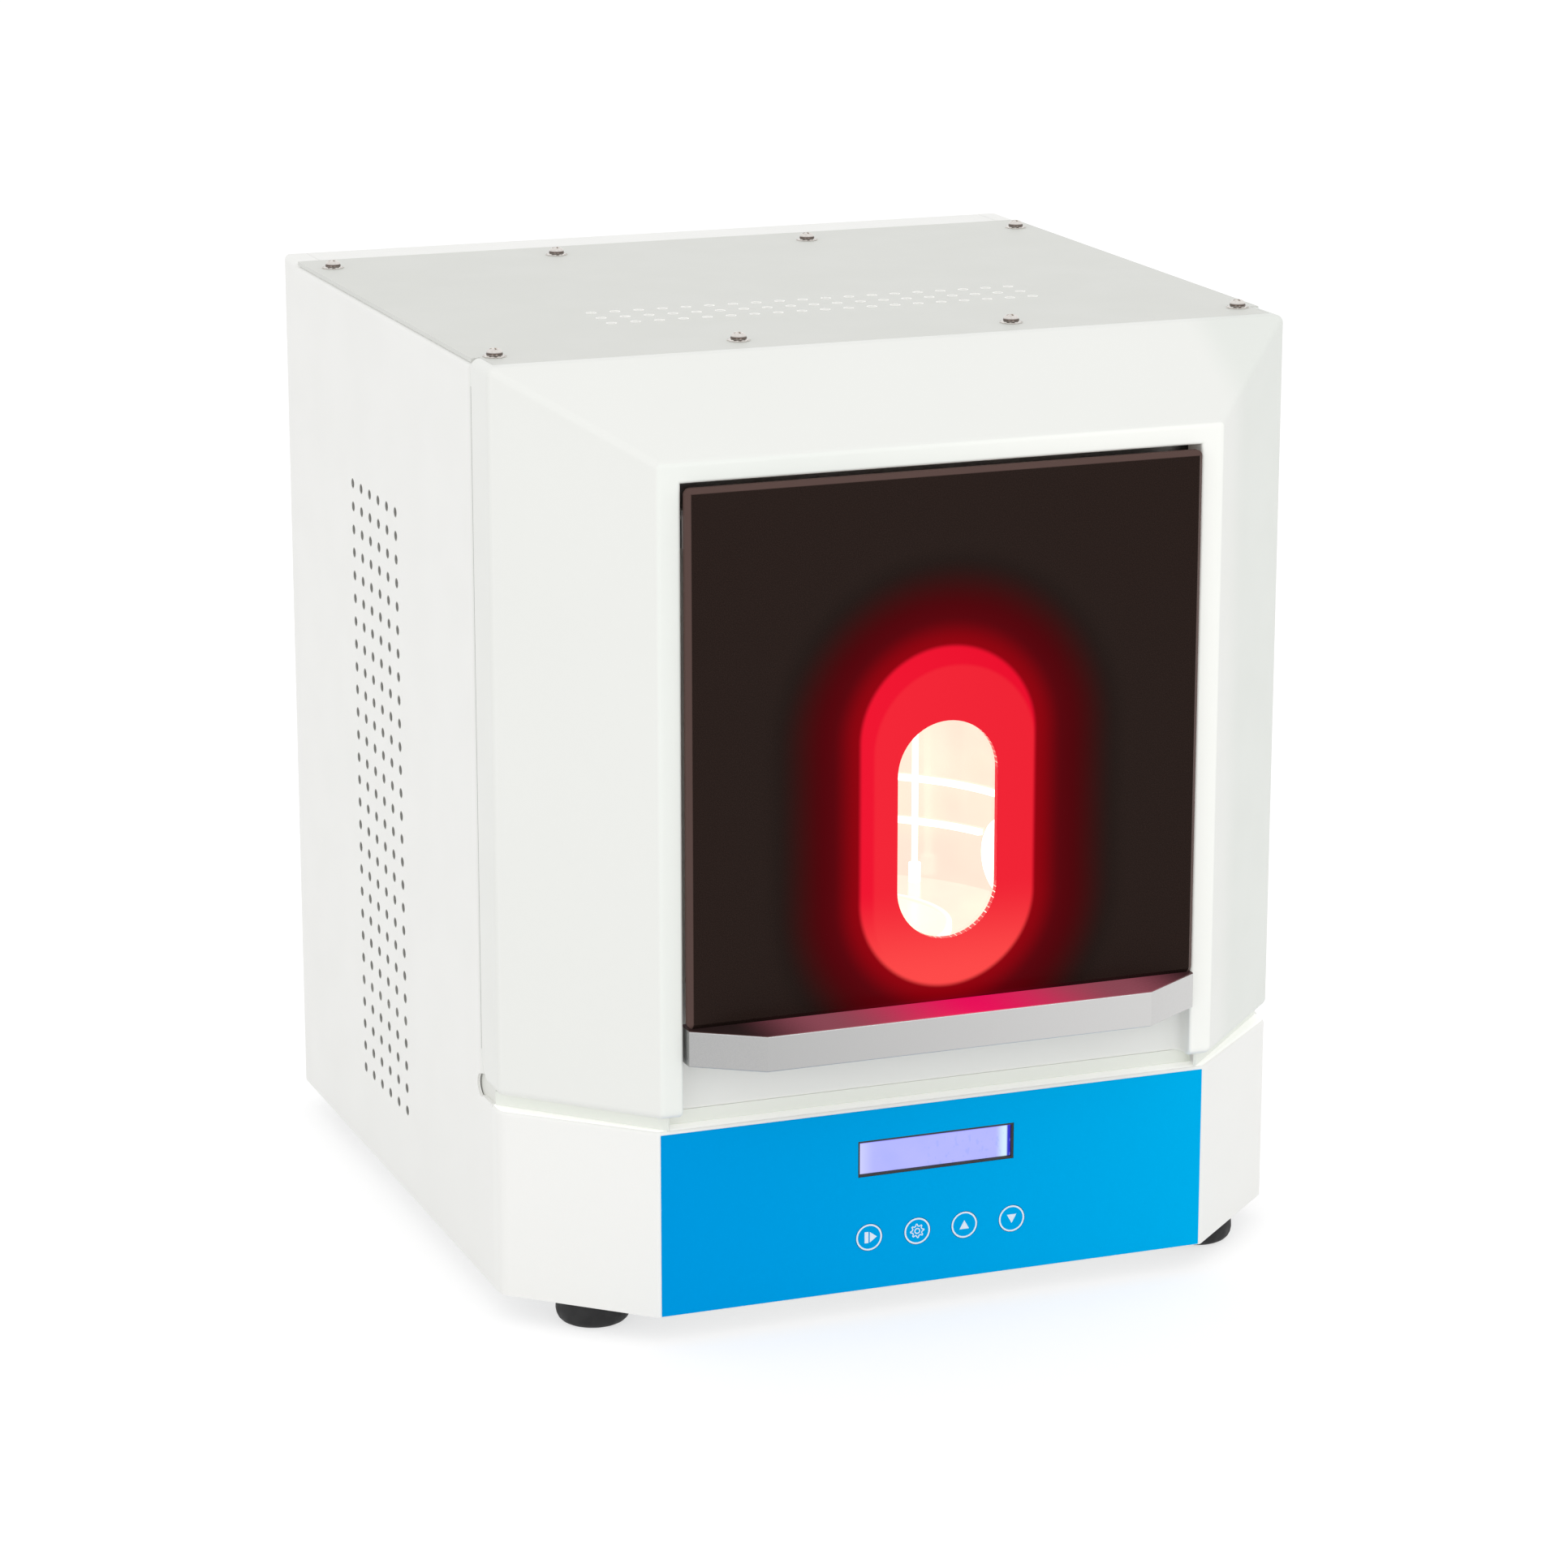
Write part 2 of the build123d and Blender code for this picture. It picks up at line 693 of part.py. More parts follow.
def bezel_cavity():
    """Hollow behind the bezel's walls, clear of the chamber's front sheet below."""
    wall = bezel_wall
    cavity = bezel_form(wall, bezel_back_y + over, bezel_bottom_z + wall)
    cavity -= block(-recess_half - wall, recess_half + wall, bezel_face_y, recess_y + wall,
                    bezel_bottom_z, recess_top_z + wall)
    slot_half = bezel_face_half + seam
    return cavity + block(-slot_half, slot_half, recess_y + wall, bezel_back_y + over,
                          bezel_bottom_z - over, bezel_bottom_z + 2 * wall)


def boss(x, z, y0, y1):
    """Screw boss along Y that is open at y1."""
    return rod_y(x, z, boss_radius, y0, y1) - rod_y(x, z, boss_hole, y0 + boss_radius, y1 + over)


def make_bezel():
    wall = bezel_wall
    shell = make_bezel_block() - bezel_cavity()
    doorway = block(-doorway_half, doorway_half, recess_y - over, recess_y + wall + over,
                    ledge_bottom_z, ledge_top_z + over)
    pocket = block(-recess_half, recess_half, recess_y - recess_corner_radius - over,
                   recess_y + wall + over, ledge_top_z, recess_top_z)
    seat_half = half_width - cover_front_inset + joint_gap
    cover_seat = block(-seat_half, seat_half, cover_front_y, bezel_back_y + over, cover_seat_z,
                       top_z + over)
    shell -= [doorway, pocket, cover_seat]
    for side in (-1, 1):
        x0, x1 = sorted((side * (recess_half + wall - bite), side * (recess_half + bush_length)))
        shell += rod_x(axis_y, axis_z, bush_radius + bush_wall, x0, x1)
        x0, x1 = sorted((side * (recess_half - over), side * (recess_half + bush_length + over)))
        shell -= rod_x(axis_y, axis_z, bush_radius, x0, x1)
        ledge_x = side * (doorway_half + ledge_width / 2)
        side_x = side * (half_width - wall - boss_radius + bite)
        for z in (ledge_bottom_z + boss_inset, ledge_top_z - boss_inset):
            shell += boss(ledge_x, z, recess_y + wall - bite, front_sheet_y)
            shell += boss(side_x, z, rim_y + side_boss_start, side_front_y)
    return shell


def make_hinge_bush(side):
    x0, x1 = sorted((side * recess_half, side * (recess_half + bush_length)))
    bush = rod_x(axis_y, axis_z, bush_radius, x0, x1)
    return bush - rod_x(axis_y, axis_z, pin_radius + running_gap, x0 - over, x1 + over)


# ---------------------------------------------------------------- door
def make_door_panel():
    panel = block(-panel_half, panel_half, panel_front_y, panel_back_y, panel_bottom_z,
                  panel_top_z)
    panel = fillet(edges_along(panel, Axis.Y), panel_corner_radius)
    front = panel.faces().sort_by(Axis.Y)[0]
    panel = chamfer(front.edges(), panel_bevel)
    return panel - stadium_y(window_width, window_height, window_z, panel_front_y - over,
                             panel_back_y + over)


def make_window_pane():
    return stadium_y(window_width, window_height, window_z, panel_front_y, panel_back_y)


def make_door_frame():
    """Stiff sheet behind the panel, with an ear for each hinge pin."""
    frame = block(-frame_half, frame_half, panel_back_y, frame_back_y, panel_bottom_z,
                  frame_top_z)
    for side in (-1, 1):
        x0, x1 = sorted((side * (ear_outer_x - ear_width), side * ear_outer_x))
        back = axis_y + ear_radius
        frame += block(x0, x1, panel_back_y, back, axis_z - ear_length, axis_z)
        frame += rod_x(axis_y, axis_z, ear_radius, x0, x1)
        frame -= rod_x(axis_y, axis_z, pin_radius, x0 - over, x1 + over)
    frame -= stadium_y(light_width, light_height, light_z, panel_back_y - over, frame_back_y + over)
    for x in handle_screw_places():
        frame -= rod_z(x, (panel_back_y + frame_back_y) / 2, handle_screw_radius,
                       panel_bottom_z - over, panel_bottom_z + handle_screw_length + over)
    return frame


def make_door_liner():
    """Bright inner tray of the door, open to the panel, with a round-ended light opening."""
    tray = block(-liner_half, liner_half, frame_back_y, liner_back_y, liner_bottom_z,
                 liner_top_z)
    tray = fillet(edges_along(tray, Axis.Y), liner_corner_radius)
    hollow = block(-liner_half + liner_wall, liner_half - liner_wall, frame_back_y - over,
                   liner_back_y - liner_wall, liner_bottom_z + liner_wall,
                   liner_top_z - liner_wall)
    hollow = fillet(edges_along(hollow, Axis.Y), liner_corner_radius - liner_wall)
    sleeve_wall = 2 * liner_wall
    collar = stadium_y(light_width + sleeve_wall, light_height + sleeve_wall, light_z,
                       frame_back_y, liner_back_y)
    tray = (tray - hollow) + collar
    return tray - stadium_y(light_width, light_height, light_z, frame_back_y - over,
                            liner_back_y + over)


def make_door_seal():
    half = liner_half
    inner = half - seal_width
    outer = block(-half, half, liner_back_y, seal_back_y, liner_bottom_z, liner_top_z)
    outer = fillet(edges_along(outer, Axis.Y), liner_corner_radius)
    hole = block(-inner, inner, liner_back_y - over, seal_back_y + over,
                 liner_bottom_z + seal_width, liner_top_z - seal_width)
    hole = fillet(edges_along(hole, Axis.Y), seal_inner_radius)
    return outer - hole


def make_hinge_pins():
    pins = []
    for side in (-1, 1):
        x0 = side * (ear_outer_x - ear_width)
        x1 = side * (recess_half + bush_length)
        low, high = sorted((x0, x1))
        pins.append(rod_x(axis_y, axis_z, pin_radius, low, high))
    return Compound(pins)


def handle_outline(inset):
    """Plan of the handle bar, its front walls moved in by inset."""
    end = panel_half - inset
    run = panel_half - handle_flat_half
    rise = panel_front_y - handle_front_y
    slope = math.hypot(run, rise)
    front = handle_front_y + inset
    corner = handle_flat_half - inset * (slope - run) / rise
    side_y = panel_front_y + (inset * slope - inset * rise) / run
    rear = frame_back_y + (1 if inset else 0)
    return [
        (-end, rear), (-end, side_y), (-corner, front), (corner, front), (end, side_y),
        (end, rear),
    ]


def handle_screw_places():
    outer = handle_flat_half - handle_screw_end
    return (-outer, 0.0, outer)


def make_handle():
    """Extruded pull bar: a top plate under the door panel with a front lip."""
    bottom = panel_bottom_z - handle_height
    bar = prism_z(handle_outline(0.0), bottom, panel_bottom_z)
    front_edges = [e for e in bar.edges() if e.center().Y < panel_front_y - near]
    bar = fillet(front_edges, handle_edge_radius)
    bar -= prism_z(handle_outline(handle_wall), bottom - over, panel_bottom_z - handle_wall)
    for x in handle_screw_places():
        bar -= rod_z(x, (panel_back_y + frame_back_y) / 2, handle_screw_radius, bottom,
                     panel_bottom_z + over)
    return bar


def make_handle_screws():
    y = (panel_back_y + frame_back_y) / 2
    seat = panel_bottom_z - handle_wall
    screws = []
    for x in handle_screw_places():
        head = rod_z(x, y, handle_screw_head, seat - handle_screw_head_height, seat)
        shank = rod_z(x, y, handle_screw_radius, seat, panel_bottom_z + handle_screw_length)
        screws.append(head + shank)
    return Compound(screws)


def catch_places():
    x = recess_half - catch_inset
    return [(-x, case_z + catch_rise), (x, case_z + catch_rise)]


def make_catch_plates():
    back = frame_back_y + catch_height
    return Compound([rod_y(x, z, magnet_radius, frame_back_y, back) for x, z in catch_places()])


def make_magnets():
    front = frame_back_y + catch_height + seat_gap
    return Compound([rod_y(x, z, magnet_radius, front, recess_y) for x, z in catch_places()])


# ---------------------------------------------------------------- chamber
def chamber_plan(radius, front_y):
    """U-shaped plan: straight sides with a half-round back."""
    left = Line((-radius, front_y), (-radius, chamber_axis_y))
    arc = ThreePointArc((-radius, chamber_axis_y), (0, chamber_axis_y + radius),
                        (radius, chamber_axis_y))
    right = Line((radius, chamber_axis_y), (radius, front_y))
    close = Line((radius, front_y), (-radius, front_y))
    return make_face(Curve() + [left, arc, right, close])


def chamber_solid(radius, front_y, z0, z1):
    return extrude(Plane.XY.offset(z0) * chamber_plan(radius, front_y), amount=z1 - z0)


def make_chamber_wall():
    outer_radius = chamber_radius + chamber_wall_thickness
    outer = chamber_solid(outer_radius, chamber_y, wall_bottom_z, wall_top_z)
    return outer - chamber_solid(chamber_radius, chamber_y - over, wall_bottom_z - over,
                                 wall_top_z + over)


def make_chamber_floor():
    floor = chamber_solid(chamber_radius + chamber_lap, chamber_y, floor_z, wall_bottom_z)
    return floor - rod_z(0, chamber_axis_y, floor_hole_radius, floor_z - over, wall_bottom_z + over)


def make_chamber_ceiling():
    return chamber_solid(chamber_radius + chamber_lap, chamber_y, wall_top_z, ceiling_z)


def make_chamber_front():
    """Upright sheet round the chamber's mouth that the door seal closes on."""
    face = block(-bezel_face_half, bezel_face_half, front_sheet_y, chamber_y, base_top_z,
                 top_z - front_sheet_drop)
    face = fillet(edges_along(face, Axis.Y), front_sheet_radius)
    mouth = block(-mouth_half, mouth_half, front_sheet_y - over, chamber_y + over, mouth_bottom_z,
                  mouth_top_z)
    mouth = fillet(edges_along(mouth, Axis.Y), mouth_radius)
    return face - mouth


def make_pedestal():
    """Folded bridge that carries the chamber floor and the turntable motor."""
    front = chamber_axis_y - pedestal_depth / 2
    rear = chamber_axis_y + pedestal_depth / 2
    half = pedestal_half
    outside = [
        (-half - pedestal_foot, deck_top_z), (-half + sheet, deck_top_z),
        (-half + sheet, floor_z - sheet), (half - sheet, floor_z - sheet),
        (half - sheet, deck_top_z), (half + pedestal_foot, deck_top_z),
        (half + pedestal_foot, deck_top_z + sheet), (half, deck_top_z + sheet),
        (half, floor_z), (-half, floor_z), (-half, deck_top_z + sheet),
        (-half - pedestal_foot, deck_top_z + sheet),
    ]
    bridge = prism_y(outside, front, rear)
    return bridge - rod_z(0, chamber_axis_y, gear_head_radius + gear_head_gap,
                          floor_z - sheet - over, floor_z + over)


def make_light_band(rise, start):
    """Light strip along the round back of the chamber wall, behind its start."""
    z0, z1 = case_z + rise, case_z + rise + band_height
    ring = rod_z(0, chamber_axis_y, chamber_radius, z0, z1)
    ring -= rod_z(0, chamber_axis_y, chamber_radius - band_thickness, z0 - over, z1 + over)
    ahead = block(-chamber_radius - over, chamber_radius + over,
                  chamber_axis_y - chamber_radius - over, start, z0 - over, z1 + over)
    return ring - ahead


def lamp_back_y():
    """Rear edge of the side lamps."""
    turn = math.radians(lamp_turn)
    return chamber_axis_y + chamber_radius * math.sin(turn) + lamp_radius * math.cos(turn)


def tube_place(angle):
    reach = chamber_radius - tube_radius - tube_clip
    turn = math.radians(angle)
    return reach * math.cos(turn), chamber_axis_y + reach * math.sin(turn)


def make_light_tube(angle):
    """Upright lamp tube held by an end cap against the floor and one against the ceiling."""
    x, y = tube_place(angle)
    low = wall_bottom_z + tube_cap_length
    high = wall_top_z - tube_cap_length
    tube = rod_z(x, y, tube_radius, low, high)
    tube += rod_z(x, y, tube_radius + tube_cap_rim, wall_bottom_z, low)
    return tube + rod_z(x, y, tube_radius + tube_cap_rim, high, wall_top_z)


def make_side_lamp(side):
    """Round lamp with a flat face and a back that fits the chamber's round wall."""
    wall_sag = chamber_radius - math.sqrt(chamber_radius ** 2 - lamp_radius ** 2)
    face_x = chamber_radius - wall_sag - lamp_thickness
    lamp = rod_x(0, case_z + lamp_rise, lamp_radius, face_x, chamber_radius + over)
    lamp = chamfer(lamp.edges().filter_by(GeomType.CIRCLE).sort_by(Axis.X)[0], lamp_bevel)
    behind = block(0, chamber_radius + 2 * over, -chamber_radius, chamber_radius,
                   wall_bottom_z - over, wall_top_z + over)
    behind -= rod_z(0, 0, chamber_radius, wall_bottom_z - 2 * over, wall_top_z + 2 * over)
    turn = lamp_turn if side > 0 else 180 - lamp_turn
    return Pos(0, chamber_axis_y, 0) * Rot(0, 0, turn) * (lamp - behind)


# ---------------------------------------------------------------- turntable
def make_turntable():
    """Disc with a raised rim on a hub."""
    z = table_z
    rim_top = z + table_thickness + table_rim
    rim_inside = table_radius - table_rim_width
    profile = [
        (0, z), (table_radius, z), (table_radius, rim_top), (rim_inside, rim_top),
        (rim_inside - table_rim_slope, z + table_thickness), (0, z + table_thickness),
    ]
    disc = revolve(Plane.XZ * outline(profile), Axis.Z)
    return Pos(0, chamber_axis_y, 0) * disc


def make_turntable_shaft():
    """Hub under the disc and the shaft that runs in the motor."""
    hub_bottom = table_z - table_gap + seat_gap
    low = floor_z - sheet - motor_height + motor_floor + shaft_end_gap
    hub = rod_z(0, chamber_axis_y, hub_radius, hub_bottom, table_z)
    return hub + rod_z(0, chamber_axis_y, shaft_radius, low, hub_bottom + over)


def make_motor():
    top = floor_z - sheet
    body = rod_z(0, chamber_axis_y, motor_radius, top - motor_height, top - motor_flange)
    lower_rim = body.edges().filter_by(GeomType.CIRCLE).sort_by(Axis.Z)[0]
    body = chamfer(lower_rim, motor_bevel)
    reach = motor_radius + motor_ear
    plate = block(-motor_radius, motor_radius, chamber_axis_y - reach, chamber_axis_y + reach,
                  top - motor_flange, top)
    plate = fillet(edges_along(plate, Axis.Z), motor_ear)
    head = rod_z(0, chamber_axis_y, gear_head_radius, top - bite, floor_z)
    motor = body + plate + head
    return motor - rod_z(0, chamber_axis_y, shaft_radius + running_gap,
                         top - motor_height + motor_floor, floor_z + over)


# ---------------------------------------------------------------- control face
def make_label():
    half = base_face_half - label_inset
    top = base_top_z - base_edge_radius
    label = block(-half, half, control_face_y, base_face_y, case_z + label_margin, top)
    label -= block(-lcd_width / 2, lcd_width / 2, control_face_y - over, base_face_y + over,
                   lcd_z - lcd_height / 2, lcd_z + lcd_height / 2)
    for x in key_x:
        label -= rod_y(x, key_z, key_radius + key_clearance, control_face_y - over,
                       base_face_y + over)
    return label


def make_lcd_frame():
    """Dark frame of the display module, set in the base front's cut-out."""
    half = lcd_width / 2 + lcd_border - joint_gap
    rise = lcd_height / 2 + lcd_border - joint_gap
    frame = block(-half, half, base_face_y, board_y, lcd_z - rise, lcd_z + rise)
    return frame - lcd_pane(base_face_y - over)


def lcd_pane(front_y):
    """Block over the display's lit area, from front_y to the back of its glass."""
    half = lcd_width / 2 - lcd_rim
    rise = lcd_height / 2 - lcd_rim
    return block(-half, half, front_y, base_face_y + lcd_depth + lcd_glass, lcd_z - rise,
                 lcd_z + rise)


def make_lcd_glass():
    return lcd_pane(base_face_y + lcd_depth)


def make_control_board():
    half = board_width / 2
    return block(-half, half, board_y, board_y + board_thickness, case_z + board_bottom,
                 case_z + board_top)


def make_key(x):
    """Round key: cap, retaining flange and stem."""
    flange_front = face_inner_y + seat_gap
    cap = rod_y(x, key_z, key_radius, control_face_y, flange_front)
    collar = rod_y(x, key_z, key_flange_radius, flange_front, flange_front + key_flange)
    stem = rod_y(x, key_z, key_stem_radius, flange_front + key_flange,
                 board_y - switch_height - key_travel - seat_gap)
    return cap + collar + stem


def make_key_switches():
    half = switch_size / 2
    bodies = []
    for x in key_x:
        bodies.append(block(x - half, x + half, board_y - switch_height, board_y, key_z - half,
                            key_z + half))
    return Compound(bodies)


# ---------------------------------------------------------------- back panel fittings
def fan_screw_places():
    return [(sx * fan_screw_half, fan_z + sz * fan_screw_half) for sx in (-1, 1)
            for sz in (-1, 1)]


def make_fan_housing():
    half = fan_size / 2
    housing = block(-half, half, fan_front_y, back_inner_y, fan_z - half, fan_z + half)
    housing = fillet(edges_along(housing, Axis.Y), fan_corner_radius)
    housing -= rod_y(0, fan_z, fan_bore, fan_front_y - over, back_inner_y + over)
    for x, z in fan_screw_places():
        housing -= rod_y(x, z, fan_screw_radius, fan_front_y - over, back_inner_y + over)
    arm_back = fan_front_y + fan_arm_depth
    for turn in fan_arm_turns:
        arm = block(fan_hub_radius - over, fan_bore + over, fan_front_y, arm_back, -fan_arm_half,
                    fan_arm_half)
        housing += Pos(0, 0, fan_z) * Rot(0, turn, 0) * arm
    housing += rod_y(0, fan_z, fan_hub_radius, fan_front_y, arm_back)
    return housing - rod_y(0, fan_z, fan_spindle_radius + running_gap,
                           fan_front_y + fan_socket_floor, arm_back + over)


def make_fan_rotor():
    """Hub with twisted blades, lofted from the root to the tip."""
    front = fan_front_y + fan_arm_depth + rotor_gap
    rear = back_inner_y - rotor_rear_gap
    hub = rod_y(0, fan_z, fan_hub_radius, front, rear)
    hub += rod_y(0, fan_z, fan_spindle_radius, fan_front_y + fan_socket_floor + rotor_gap,
                 front + over)
    middle = (front + rear) / 2
    blade_depth = rear - front - 2 * fan_blade_margin
    root = Plane(origin=(fan_hub_radius - fan_blade_root, 0, 0), x_dir=(0, 1, 0), z_dir=(1, 0, 0))
    tip = Plane(origin=(fan_blade_tip, 0, 0), x_dir=(0, 1, 0), z_dir=(1, 0, 0))
    lean = fan_blade_twist / 2
    root_face = root * Rot(0, 0, lean) * Rectangle(blade_depth * fan_root_share,
                                                     fan_blade_thickness)
    tip_face = tip * Rot(0, 0, lean + fan_blade_twist) * Rectangle(blade_depth,
                                                                  fan_blade_thickness)
    blade = loft([root_face, tip_face], ruled=True)
    rotor = hub
    for number in range(fan_blades):
        turn = 360.0 * number / fan_blades
        rotor += Pos(0, middle, fan_z) * Rot(0, turn, 0) * blade
    return rotor


def make_fan_guard():
    """Flat guard of rings joined by crossed arms, with an eye for each fan screw."""
    y0, y1 = back_y, back_y + guard_thickness
    guard = None
    for radius in guard_bars:
        ring = rod_y(0, fan_z, radius + guard_bar_width / 2, y0, y1)
        ring -= rod_y(0, fan_z, radius - guard_bar_width / 2, y0 - over, y1 + over)
        guard = ring if guard is None else guard + ring
    reach = fan_screw_half * math.sqrt(2)
    for turn in guard_arm_turns:
        arm = block(-reach, reach, y0, y1, -guard_arm_width / 2, guard_arm_width / 2)
        guard += Pos(0, 0, fan_z) * Rot(0, turn, 0) * arm
    for x, z in fan_screw_places():
        guard += rod_y(x, z, guard_eye_radius, y0, y1)
    for x, z in fan_screw_places():
        guard -= rod_y(x, z, fan_screw_radius, y0 - over, y1 + over)
    return guard


def make_fan_screws():
    screws = []
    seat = back_y + guard_thickness
    for x, z in fan_screw_places():
        head = rod_y(x, z, fan_screw_head, seat, back_y + rear_reach)
        crown = head.edges().filter_by(GeomType.CIRCLE).sort_by(Axis.Y)[-1]
        head = chamfer(crown, fan_screw_crown)
        shank = rod_y(x, z, fan_screw_radius - joint_gap, back_inner_y - fan_screw_length,
                      seat + over)
        screws.append(head + shank)
    return Compound(screws)


def make_inlet():
    """Mains inlet: flanged shell with a socket for the plug."""
    half = inlet_width / 2 - joint_gap
    rise = inlet_height / 2 - joint_gap
    depth = back_y - inlet_depth
    shell = block(inlet_x - half, inlet_x + half, depth, back_y, power_z - rise, power_z + rise)
    plate = block(inlet_x - inlet_flange_width / 2, inlet_x + inlet_flange_width / 2, back_y,
                  back_y + inlet_flange, power_z - inlet_flange_height / 2,
                  power_z + inlet_flange_height / 2)
    plate = fillet(edges_along(plate, Axis.Y), inlet_corner_radius)
    socket = block(inlet_x - half + inlet_wall, inlet_x + half - inlet_wall, depth + inlet_floor,
                   back_y + inlet_flange + over, power_z - rise + inlet_wall,
                   power_z + rise - inlet_wall)
    corners = [e for e in edges_along(socket, Axis.Y) if e.center().Z > power_z]
    socket = chamfer(corners, inlet_chamfer)
    shell = shell + plate - socket
    for x in (inlet_x - inlet_screw_x, inlet_x + inlet_screw_x):
        shell -= rod_y(x, power_z, inlet_screw_radius, back_y - over, back_y + inlet_flange + over)
    return shell


def make_inlet_pins():
    start = back_y - inlet_depth + inlet_floor
    pins = []
    places = ((-inlet_pin_spread, -inlet_pin_rise), (0.0, inlet_pin_rise),
              (inlet_pin_spread, -inlet_pin_rise))
    for dx, dz in places:
        x, z = inlet_x + dx, power_z + dz
        pin = block(x - inlet_pin_thickness / 2, x + inlet_pin_thickness / 2, start,
                    start + inlet_pin_length, z - inlet_pin_width / 2, z + inlet_pin_width / 2)
        pins.append(pin)
    return Compound(pins)


def switch_body_size():
    """Half width and half height of the switch body in the back panel."""
    half = rocker_width / 2 + rocker_clearance + switch_wall
    rise = rocker_radius + rocker_clearance + switch_wall
    return half, rise


def make_switch_frame():
    half, rise = switch_body_size()
    half -= joint_gap
    rise -= joint_gap
    floor = rocker_y - rocker_radius - rocker_clearance - switch_floor
    body = block(switch_x - half, switch_x + half, floor, back_y, power_z - rise, power_z + rise)
    rim = switch_flange_rim
    body += block(switch_x - half - rim, switch_x + half + rim, back_y, back_y + switch_flange,
                  power_z - rise - rim, power_z + rise + rim)
    inside = rocker_width / 2 + rocker_clearance
    up = rocker_radius + rocker_clearance
    body -= block(switch_x - inside, switch_x + inside, floor + switch_floor,
                  back_y + switch_flange + over, power_z - up, power_z + up)
    return body - rod_x(rocker_y, power_z, rocker_pin_radius + running_gap,
                        switch_x - half - over, switch_x + half + over)


def make_rocker():
    """Rocker with a shallow valley, resting with its upper end out."""
    drum = rod_x(0, 0, rocker_radius, -rocker_width / 2, rocker_width / 2)
    rise = rocker_radius * math.tan(math.radians(rocker_tilt))
    reach = 2 * rocker_radius
    above = [
        (rocker_valley, 0), (rocker_valley + rise, rocker_radius), (rocker_valley + rise, reach),
        (reach, reach), (reach, -reach), (rocker_valley + rise, -reach),
        (rocker_valley + rise, -rocker_radius),
    ]
    drum -= prism_x(above, -rocker_width, rocker_width)
    half = switch_body_size()[0] - joint_gap
    drum += rod_x(0, 0, rocker_pin_radius, -half, half)
    return Pos(switch_x, rocker_y, power_z) * Rot(-rocker_tilt, 0, 0) * drum


# ---------------------------------------------------------------- inside the base
def make_power_supply():
    """Supply in a folded cage on the base pan."""
    rear = back_inner_y - supply_from_back
    front = rear - supply_depth
    x0 = supply_side - half_width
    x1 = x0 + supply_width
    cage = block(x0, x1, front, rear, pan_top_z, pan_top_z + supply_height)
    cage = fillet(edges_along(cage, Axis.Y), supply_edge_radius)
    return cage - block(x0 + supply_sheet, x1 - supply_sheet, front - over,
                        front + supply_terminal_depth, pan_top_z + supply_terminal_rise,
                        pan_top_z + supply_height + over)


# ---------------------------------------------------------------- feet
def foot_places():
    x = half_width - foot_side
    return [(side * x, y) for y in (bezel_face_y + foot_front, back_y - foot_rear)
            for side in (-1, 1)]


def make_foot(x, y):
    """Rubber foot with a broken sole edge and a sunk screw."""
    sole = foot_sole_radius
    neck = foot_radius - foot_draft
    seat = pan_z - foot_screw_seat
    profile = Curve() + [
        Line((foot_counterbore, 0), (sole, 0)),
        Line((sole, 0), (sole + foot_round[0], foot_round[1])),
        Line((sole + foot_round[0], foot_round[1]), (foot_radius, foot_belly)),
        Line((foot_radius, foot_belly), (neck, pan_z)),
        Line((neck, pan_z), (foot_screw_radius, pan_z)),
        Line((foot_screw_radius, pan_z), (foot_screw_radius, seat)),
        Line((foot_screw_radius, seat), (foot_counterbore, seat)),
        Line((foot_counterbore, seat), (foot_counterbore, 0)),
    ]
    return Pos(x, y, 0) * revolve(Plane.XZ * make_face(profile), Axis.Z)


def make_foot_screws():
    screws = []
    seat = pan_z - foot_screw_seat
    for x, y in foot_places():
        head = rod_z(x, y, foot_screw_head, seat - foot_screw_head_height, seat)
        shank = rod_z(x, y, foot_screw_radius - joint_gap, seat, pan_top_z + foot_screw_reach)
        screws.append(head + shank)
    return Compound(screws)


